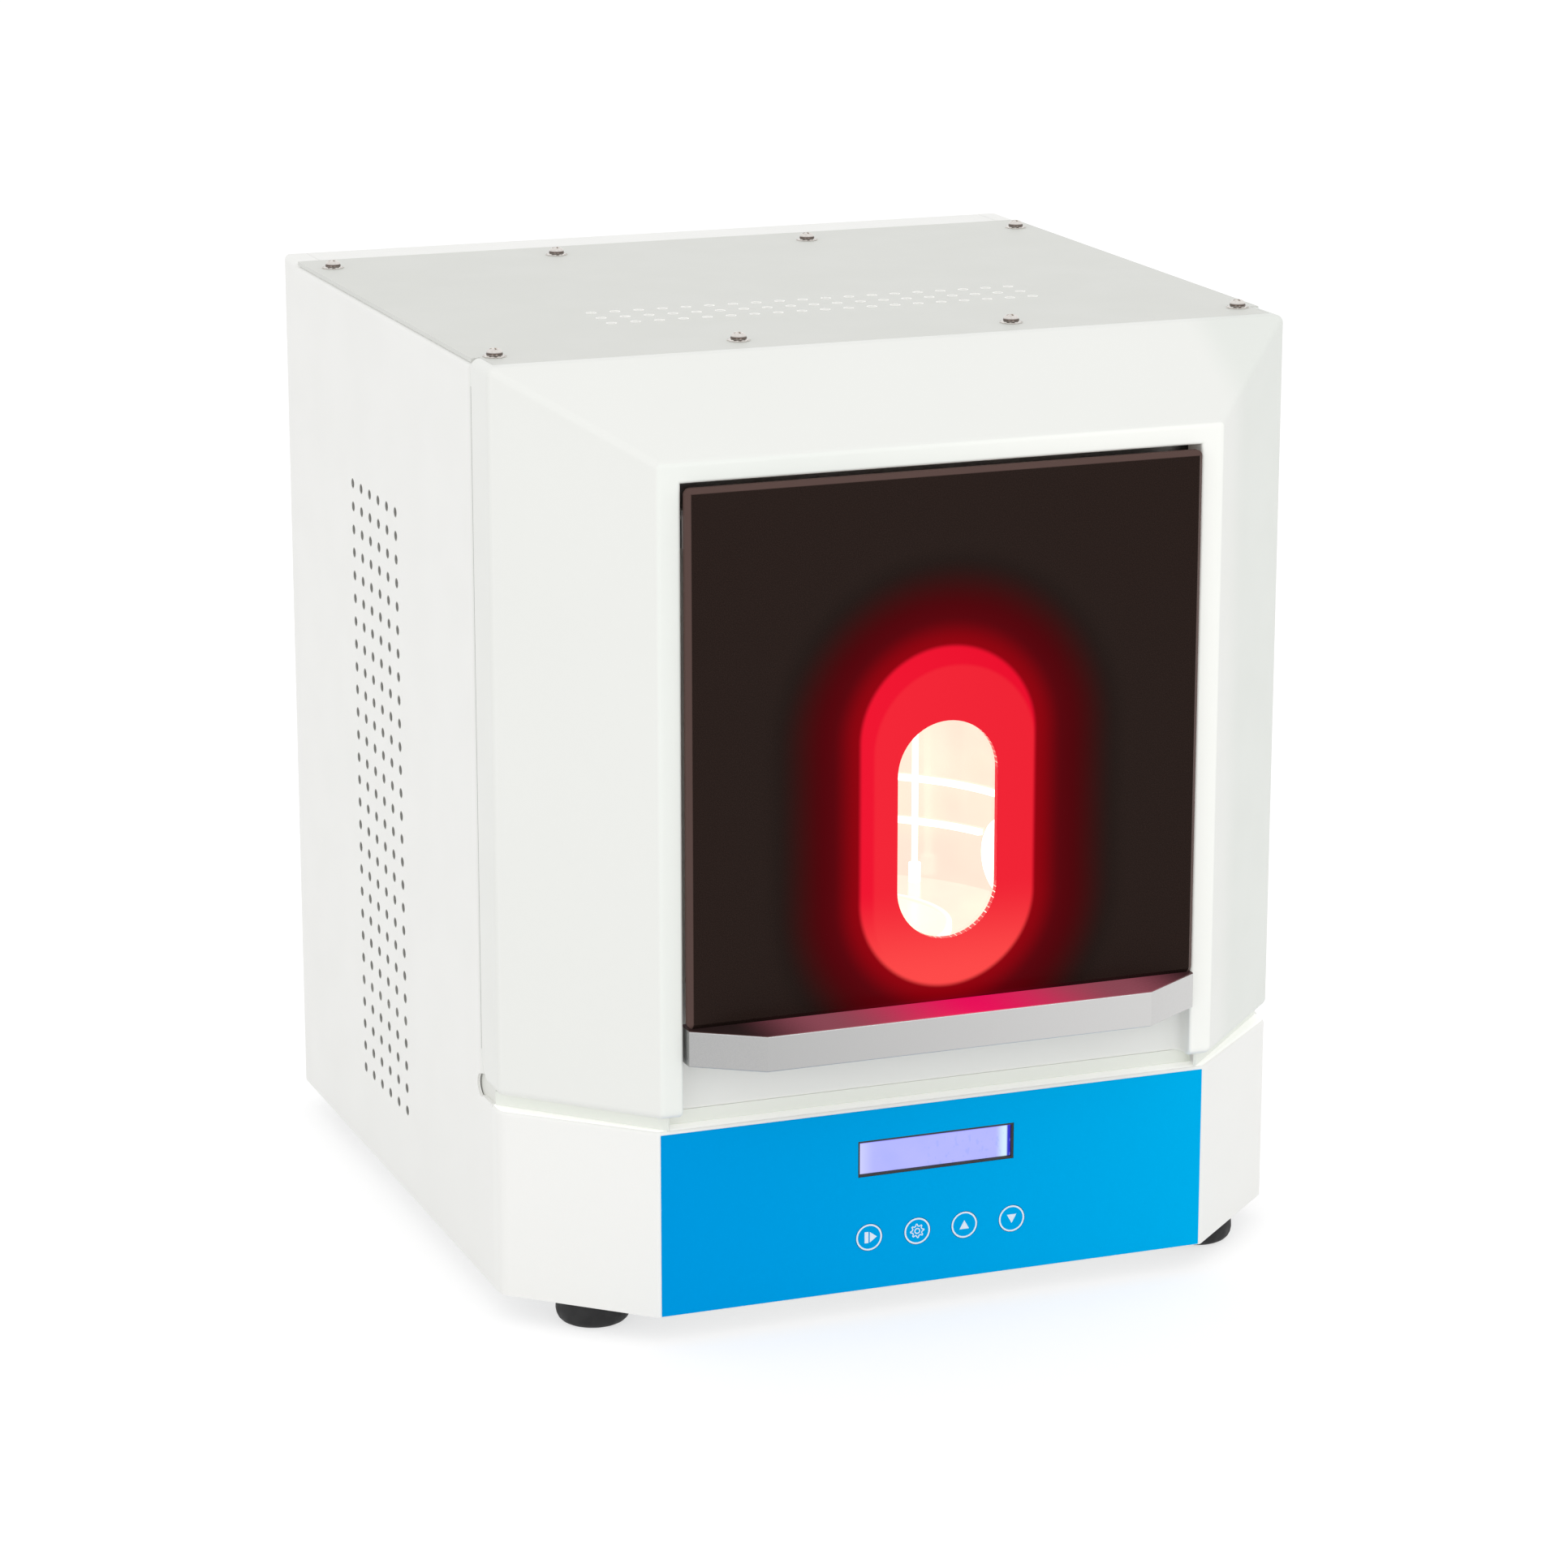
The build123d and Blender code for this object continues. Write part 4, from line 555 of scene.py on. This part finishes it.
def blue_label():
    """Printed film of the control face: a cyan blue, lightened towards the right by painted light."""
    film = Finish("blue_label")
    film.shader.inputs["Specular IOR Level"].default_value = 0.0
    # Painted light: the blue is lighter towards the right.
    across = film.span(film.along("X"), -0.139, 0.139, smooth=False)
    blue = film.blend(across, tone(0, 154, 225), tone(0, 177, 237))
    film.paint(film.blend(film.span(film.noise(1900, 1), 0.3, 0.8, 0, 0.09), blue,
                          tone(0, 120, 196)))
    film.gloss(film.noise(400, 2), 0.55, 0.7)
    film.bump(film.noise(1500, 2), 0.12, 0.00005)
    return film.material


def display_glass():
    """Backlit display: lilac, paler at its ends, with rows of faint character cells."""
    glass = Finish("display_glass", Roughness=0.25)
    glass.shader.inputs["Specular IOR Level"].default_value = 0.2
    across = glass.along("X")
    up = glass.along("Z")
    lilac = glass.blend(glass.noise(70, 3), tone(172, 178, 250), tone(190, 190, 255))
    ends = glass.blend(glass.span(across, -0.039, -0.030, 1, 0), lilac, tone(206, 208, 255))
    ends = glass.blend(glass.span(across, 0.031, 0.0362), ends, tone(214, 240, 255))
    ends = glass.blend(glass.span(across, 0.0368, 0.0378), ends, tone(40, 40, 200))
    rim = glass.span(up, 0.0858, 0.0868)
    lit = glass.blend(rim, ends, tone(96, 88, 240))
    marks = glass.span(glass.noise(420, 2, (1, 1, 0.55)), 0.58, 0.66)
    zone = glass.sum("MULTIPLY", glass.span(across, -0.012, 0.002), marks)
    lit = glass.blend(glass.sum("MULTIPLY", zone, 0.35), lit, tone(150, 168, 246))
    glass.paint(tone(40, 44, 90))
    glass.glow(lit)
    glass.shader.inputs["Emission Strength"].default_value = 0.95
    return glass.material


def screw_chrome():
    """Bright plating of the cover's screws, with a painted reflection: a dark ring round each dome,
    where such domes mirror dark surroundings.
    """
    plate = Finish("screw_chrome", Metallic=1.0)
    height = plate.sum("SUBTRACT", plate.along("Z"), cover_top * mm)
    # Painted reflection: dark between about 0.9 and 2.6 mm above the cover.
    painted_dark_reflection = plate.sum("MULTIPLY", plate.span(height, 0.0009, 0.0013),
                     plate.span(height, 0.0017, 0.0026, 1, 0))
    metal = plate.blend(plate.noise(900, 2), tone(206, 200, 194), tone(236, 232, 228))
    plate.paint(plate.blend(painted_dark_reflection, metal, tone(96, 84, 78)))
    plate.gloss(plate.noise(600, 2), 0.08, 0.16)
    return plate.material


def satin_handle():
    """Bead-blasted and anodised aluminium. Painted shade makes it darker towards its left end, and
    its top face carries a painted reflection: dark, with a pink glow that is the door's red light
    mirrored in it.
    """
    handle = Finish("satin_handle", Metallic=1.0)
    sparkle = handle.noise(5200, 1)
    # Painted shade: the handle darkens towards its left end.
    across = handle.span(handle.along("X"), -0.128, 0.128, smooth=False)
    grey = handle.blend(across, tone(164, 164, 164), tone(206, 205, 204))
    # Painted reflection: the top face, above the handle's top height, is dark with a pink glow
    # strongest a little right of the middle.
    level = handle.sum("GREATER_THAN", handle.along("Z"), handle_top * mm)
    grey = handle.blend(handle.span(sparkle, 0.3, 0.7, 0, 0.35), grey, tone(206, 206, 205))
    handle.paint(handle.blend(level, grey, tone(84, 66, 64)))
    aside = handle.sum("ABSOLUTE", handle.sum("SUBTRACT", handle.along("X"), 0.012))
    painted_pink_reflection = handle.blend(handle.span(aside, 0.0, 0.075), tone(250, 16, 98), tone(150, 78, 92))
    painted_pink_reflection = handle.blend(handle.span(aside, 0.075, 0.120), painted_pink_reflection, tone(40, 28, 28))
    handle.glow(handle.blend(level, (0, 0, 0, 1), painted_pink_reflection))
    handle.shader.inputs["Emission Strength"].default_value = 0.8
    handle.gloss(handle.noise(900, 2), 0.30, 0.40)
    handle.bump(sparkle, 0.12, 0.00003)
    return handle.material


chrome = bare_metal("chrome", tone(214, 208, 202), 0.06, 0.14, grain=300, relief=0.02)
cover_chrome_and_painted_reflection = screw_chrome()
bush_nylon = moulded("bush_nylon", tone(226, 224, 214))
seam_shade = moulded("seam_shade", tone(126, 129, 122), specular=0.1)
seal_rubber = moulded("seal_rubber", tone(196, 190, 182), specular=0.3)
foot_rubber = moulded("foot_rubber", tone(34, 34, 35), low=0.5, high=0.68, grain=1100,
                      relief=0.4, specular=0.35)
black_plastic = moulded("black_plastic", tone(38, 38, 40), low=0.35, high=0.5)
display_frame = moulded("display_frame", tone(64, 62, 60), low=0.5, high=0.6, specular=0.2)
frame_metal = bare_metal("frame_metal", tone(168, 166, 164), 0.3, 0.45, (1, 1, 9))
magnet_nickel = bare_metal("magnet_nickel", tone(196, 192, 184), 0.15, 0.25)
motor_steel = bare_metal("motor_steel", tone(168, 168, 166), 0.3, 0.42, (1, 1, 8))
guard_wire = bare_metal("guard_wire", tone(206, 204, 200), 0.1, 0.2)
contact_brass = bare_metal("contact_brass", tone(206, 172, 96), 0.2, 0.3)
polished_liner = lit_liner("polished_liner", 0.9)
door_lining_and_painted_glow = door_lining_sheet()
table_steel = lit_table()
band_light = lamp_glow("band_light", tone(255, 252, 240), 1.1)
tube_light = lamp_glow("tube_light", tone(255, 253, 245), 1.15)
side_light = lamp_glow("side_light", tone(255, 253, 246), 1.15)
zinc = zinc_sheet()


def circuit_board():
    """Green board with copper tracks under its varnish."""
    board = Finish("circuit_board", Roughness=0.35)
    tracks = board.add("ShaderNodeTexBrick", {"Vector": board.add("ShaderNodeMapping", {
        "Vector": board.place, "Rotation": (math.pi / 2, 0, 0)}).outputs[0], "Scale": 120.0,
        "Mortar Size": 0.06}).outputs["Fac"]
    board.paint(board.blend(tracks, tone(16, 84, 52), tone(52, 128, 76)))
    board.bump(tracks, 0.3, 0.00004)
    return board.material


def printed_mark():
    """Screen-printed ink of the key marks."""
    ink = Finish("printed_mark", Roughness=0.5)
    ink.paint(ink.blend(ink.noise(700, 2), tone(216, 230, 244), tone(230, 240, 250)))
    return ink.material


door_sheet_and_painted_glow = dark_door()
window_sheet = clear_window()
blue_film_and_painted_light = blue_label()
display_lit = display_glass()
handle_metal_and_painted_light = satin_handle()
board_green = circuit_board()
mark_ink = printed_mark()

finishes = {
    white_coat: ("side_panel_right", "side_panel_left", "back_panel"),
    base_coat_and_painted_glow: ("base_front", "deck_plate"),
    bezel_coat_and_painted_light: ("front_bezel",),
    cover_coat_and_painted_shade: ("top_cover",),
    zinc: ("base_pan", "pedestal", "power_supply"),
    bush_nylon: ("hinge_bush_left", "hinge_bush_right", "turntable_motor"),
    door_sheet_and_painted_glow: ("door_panel",),
    window_sheet: ("window_pane",),
    frame_metal: ("door_frame", "chamber_front"),
    door_lining_and_painted_glow: ("door_liner",),
    seal_rubber: ("door_seal",),
    chrome: ("cover_screws", "hinge_pins", "handle_screws", "fan_screws", "foot_screws"),
    handle_metal_and_painted_light: ("handle_bar",),
    magnet_nickel: ("catch_plates", "catch_magnets"),
    polished_liner: ("chamber_wall", "chamber_floor", "chamber_ceiling"),
    band_light: ("light_band_lower", "light_band_upper"),
    tube_light: ("light_tube_right", "light_tube_left"),
    side_light: ("side_lamp_left", "side_lamp_right"),
    table_steel: ("turntable_disc",),
    motor_steel: ("turntable_shaft",),
    blue_film_and_painted_light: ("control_label", "key_run", "key_settings", "key_up", "key_down"),
    display_frame: ("lcd_frame",),
    display_lit: ("lcd_glass",),
    board_green: ("control_board",),
    black_plastic: ("key_switches", "fan_housing", "fan_rotor", "mains_inlet", "switch_frame",
                    "switch_rocker"),
    guard_wire: ("fan_guard",),
    contact_brass: ("inlet_pins",),
    foot_rubber: ("foot_front_left", "foot_front_right", "foot_rear_left", "foot_rear_right"),
}
for finish, names in finishes.items():
    for name in names:
        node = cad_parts[name]
        node.data.materials.clear()
        node.data.materials.append(finish)

# ---------------------------------------------------------------- screws
cover_head = pan_head(3.9, 3.0, 2.3, 0.5, 1.9)
washer = star_washer(5.6, 1.0)
places = []
for x in cover_screw_x:
    for y in cover_screw_y:
        places.append((washer, upright(x, y, cover_top)))
        places.append((cover_head, upright(x, y, cover_top + 1.0)))
        places.append((rod(2.1, 6), upright(x, y, cover_top - 2.9)))
piece("cover_screw_heads", pattern(places), "case", cover_chrome_and_painted_reflection, ["cover_screws"])

fan_head = pan_head(3.8, 3.0, 2.3, 0.5, 1.9)
places = []
for x in (-fan_screw_half, fan_screw_half):
    for z in (fan_z - fan_screw_half, fan_z + fan_screw_half):
        places.append((fan_head, facing_back(x, back_y + 2.0, z)))
        places.append((rod(2.1, 14), facing_back(x, back_y - 4.9, z)))
piece("fan_screw_heads", pattern(places), "case", chrome, ["fan_screws"])

# ---------------------------------------------------------------- feet
foot_form = turned([(5, 0), (13.0, 0), (14.3, 0.25), (15.6, 0.95), (16.8, 2.2), (17.6, 3.9),
                    (18, 6.0), (17.9, 8.6), (17.5, 11.6), (17.0, 14.5), (2.5, 14.5), (2.5, 9.5),
                    (5, 9.5), (5, 0)], 72)
for name, x, y in (("front_left", -foot_x, foot_front_y), ("front_right", foot_x, foot_front_y),
                   ("rear_left", -foot_x, foot_rear_y), ("rear_right", foot_x, foot_rear_y)):
    piece("rubber_foot_" + name, pattern([(foot_form, upright(x, y, 0))]), "case", foot_rubber,
          ["foot_" + name])

# ---------------------------------------------------------------- fan guard
places = [(wire_ring(radius, 0.8), facing_back(0, back_y + 1.5, fan_z))
          for radius in (14, 24, 34, 44)]
arm = rod(1.0, 2 * fan_screw_half * math.sqrt(2) - 8, 12)
for turn in (45, 135):
    places.append((arm, facing_back(0, back_y + 1.0, fan_z)
                   @ Matrix.Rotation(math.radians(turn), 4, "Z")
                   @ Matrix.Rotation(math.pi / 2, 4, "X")))
eye = wire_ring(3.5, 1.0, 32)
for x in (-fan_screw_half, fan_screw_half):
    for z in (fan_z - fan_screw_half, fan_z + fan_screw_half):
        places.append((eye, facing_back(x, back_y + 1.0, z)))
piece("fan_guard_wires", pattern(places), "case", guard_wire, ["fan_guard"])

# ---------------------------------------------------------------- round vent holes
# The side vents' sleeves are mid-grey: painted shade in the holes.
side_sleeve = flat_ring(2.62, 2.2, 1.5, 16)
for side, name in ((-1, "left"), (1, "right")):
    places = []
    for column in range(vent_columns):
        for row in range(vent_rows):
            place = facing_side(side * (side_face - 1.48), vent_rear_y - vent_step_y * column,
                                vent_low_z + vent_step_z * row, side)
            places.append((side_sleeve, place))
    piece("vent_edges_" + name, pattern(places), "case", vent_shade_coat)
# The top vents' sleeves are white and glow: painted light on the walls of the holes.
cover_sleeve = flat_ring(2.62, 2.2, 2.0, 16)
middle = (cover_vent_columns - 1) / 2
places = [(cover_sleeve, upright((column - middle) * cover_vent_step, y, cover_top - 1.98))
          for column in range(cover_vent_columns) for y in cover_vent_y]
piece("vent_edges_top", pattern(places), "case", vent_lip_glow_coat)

# ---------------------------------------------------------------- corner tabs
for side, name in ((-1, "left"), (1, "right")):
    places = [(bar_plate(-12, 12, -16.5, 10, 1.0),
               facing_side(side * (side_face - 3.1), side_front_y, base_top + 5, side))]
    piece("corner_tab_" + name, pattern(places), "case", tab_coat)

# ---------------------------------------------------------------- lips behind the gap under the bezel: pale sheets with a painted glow, put where the gap is in shade
recess_lip = bar_plate(-136, 136, base_top + 0.1, bezel_bottom - 0.1, 1.0)
facet_lip = bar_plate(-45.4, 45.4, base_top + 0.1, bezel_bottom - 0.1, 1.0)
places = [(recess_lip, facing_front(0, recess_back_y + 2, 0))]
for side in (-1, 1):
    places.append((facet_lip, upright(side * facet_middle[0], facet_middle[1], 0)
                   @ Matrix.Rotation(math.radians(side * facet_turn), 4, "Z")
                   @ Matrix.Rotation(math.pi / 2, 4, "X")))
piece("gap_lips", pattern(places), "case", gap_glow_coat)

# ---------------------------------------------------------------- seams beside the bezel: a dark strip in each, a painted shade
for side, name in ((-1, "left"), (1, "right")):
    places = [(bar_plate(-159, 159, -1.4, -0.1, 1.2),
               facing_side(side * (side_face - 1.5), side_front_y, 287, side))]
    piece("seam_shade_strip_" + name, pattern(places), "case", seam_shade)

# ---------------------------------------------------------------- key marks
print_height = 0.06
mark_ring = flat_ring(6.6, 5.75, print_height, 64)
marks = {
    "key_run": (-34.3, [(bar_plate(-2.3, -0.35, -2.8, 2.8, print_height), 0, 0),
                        (triangle_plate(5.3, 3.6, -90, print_height), 2.15, 0)]),
    "key_settings": (-9.6, [(gear_plate(3.7, 2.75, 0.5, print_height), 0, 0),
                            (flat_ring(1.5, 0.95, print_height, 32), 0, 0)]),
    "key_up": (14.7, [(triangle_plate(4.9, 4.4, 0, print_height), 0, 0.1)]),
    "key_down": (39.3, [(triangle_plate(4.9, 4.4, 180, print_height), 0, -0.1)]),
}
for name, (x, parts) in marks.items():
    places = [(mark_ring, facing_front(x, key_face_y + 0.03, key_z))]
    places += [(form, facing_front(x + right, key_face_y + 0.03, key_z + up))
               for form, right, up in parts]
    piece(name + "_mark", pattern(places), name, mark_ink)

# ---------------------------------------------------------------- floor, light and camera
def shown_share(tree):
    """1 for the rays that show what they meet: seen straight, mirrored or through glass."""
    rays = tree.nodes.new("ShaderNodeLightPath")
    either = tree.nodes.new("ShaderNodeMath")
    either.operation = "MAXIMUM"
    tree.links.new(rays.outputs["Is Glossy Ray"], either.inputs[0])
    tree.links.new(rays.outputs["Is Transmission Ray"], either.inputs[1])
    seen = tree.nodes.new("ShaderNodeMath")
    seen.operation = "MAXIMUM"
    tree.links.new(rays.outputs["Is Camera Ray"], seen.inputs[0])
    tree.links.new(either.outputs[0], seen.inputs[1])
    return seen.outputs[0]


def mixed_shader(tree, share, first, second):
    """A shader between two, by a share from 0 to 1."""
    mix = tree.nodes.new("ShaderNodeMixShader")
    tree.links.new(share, mix.inputs[0])
    tree.links.new(first.outputs[0], mix.inputs[1])
    tree.links.new(second.outputs[0], mix.inputs[2])
    return mix


def plain_shader(tree, kind, level, strength=None):
    """A grey or white diffuse, emission or background shader."""
    shader = tree.nodes.new(kind)
    shader.inputs["Color"].default_value = (level, level, level, 1)
    if strength is not None:
        shader.inputs["Strength"].default_value = strength
    return shader


def pale_floor():
    """White where the camera sees it, apart from the shadow, and clear from below."""
    ground = bpy.data.materials.new("pale_floor")
    ground.use_nodes = True
    tree = ground.node_tree
    tree.nodes.clear()
    lighting = plain_shader(tree, "ShaderNodeBsdfDiffuse", 0.8)
    shaded = plain_shader(tree, "ShaderNodeBsdfDiffuse", 0.42)
    white = plain_shader(tree, "ShaderNodeEmission", 1, 0.66)
    both = tree.nodes.new("ShaderNodeAddShader")
    tree.links.new(shaded.outputs[0], both.inputs[0])
    tree.links.new(white.outputs[0], both.inputs[1])
    above = mixed_shader(tree, shown_share(tree), lighting, both)
    under = tree.nodes.new("ShaderNodeNewGeometry")
    clear = tree.nodes.new("ShaderNodeBsdfTransparent")
    sided = mixed_shader(tree, under.outputs["Backfacing"], above, clear)
    out = tree.nodes.new("ShaderNodeOutputMaterial")
    tree.links.new(sided.outputs[0], out.inputs["Surface"])
    return ground


def studio_world():
    """Even light all round, in front of a white backdrop."""
    world = bpy.data.worlds.new("studio")
    world.use_nodes = True
    tree = world.node_tree
    tree.nodes.clear()
    lighting = plain_shader(tree, "ShaderNodeBackground", 1, 0.98)
    backdrop = plain_shader(tree, "ShaderNodeBackground", 1, 1.0)
    mixed = mixed_shader(tree, shown_share(tree), lighting, backdrop)
    out = tree.nodes.new("ShaderNodeOutputWorld")
    tree.links.new(mixed.outputs[0], out.inputs["Surface"])
    return world


def softbox(name, place, aim, size, power):
    """A large soft lamp that the camera doesn't see."""
    data = bpy.data.lights.new(name, "AREA")
    data.shape = "SQUARE"
    data.size = size
    data.energy = power
    lamp = bpy.data.objects.new(name, data)
    lamp.location = place
    lamp.rotation_euler = (Vector(aim) - Vector(place)).to_track_quat("-Z", "Y").to_euler()
    lamp.visible_camera = False
    scene.collection.objects.link(lamp)


floor_form = bmesh.new()
bmesh.ops.create_grid(floor_form, x_segments=1, y_segments=1, size=9.0)
floor_mesh = bpy.data.meshes.new("floor")
floor_form.to_mesh(floor_mesh)
floor_form.free()
floor_mesh.materials.append(pale_floor())
floor = bpy.data.objects.new("floor", floor_mesh)
scene.collection.objects.link(floor)
scene.world = studio_world()
softbox("left_lamp", (-2.6, -2.4, 0.7), (0, 0, 0.2), 1.6, 9)
softbox("front_lamp", (0.5, -3.2, 0.3), (0, 0, 0.2), 1.2, 12)

camera_data = bpy.data.cameras.new("camera")
camera_data.lens = 114.6
camera_data.sensor_width = 36.0
camera = bpy.data.objects.new("camera", camera_data)
camera.location = (-0.865, -2.263, 0.865)
sight_turn, sight_fall = math.radians(-20.8), math.radians(15.1)
sight = Vector((-math.sin(sight_turn) * math.cos(sight_fall),
                math.cos(sight_turn) * math.cos(sight_fall), -math.sin(sight_fall)))
camera.rotation_euler = sight.to_track_quat("-Z", "Y").to_euler()
scene.collection.objects.link(camera)
scene.camera = camera
scene.view_settings.view_transform = "Standard"

bpy.context.view_layer.update()
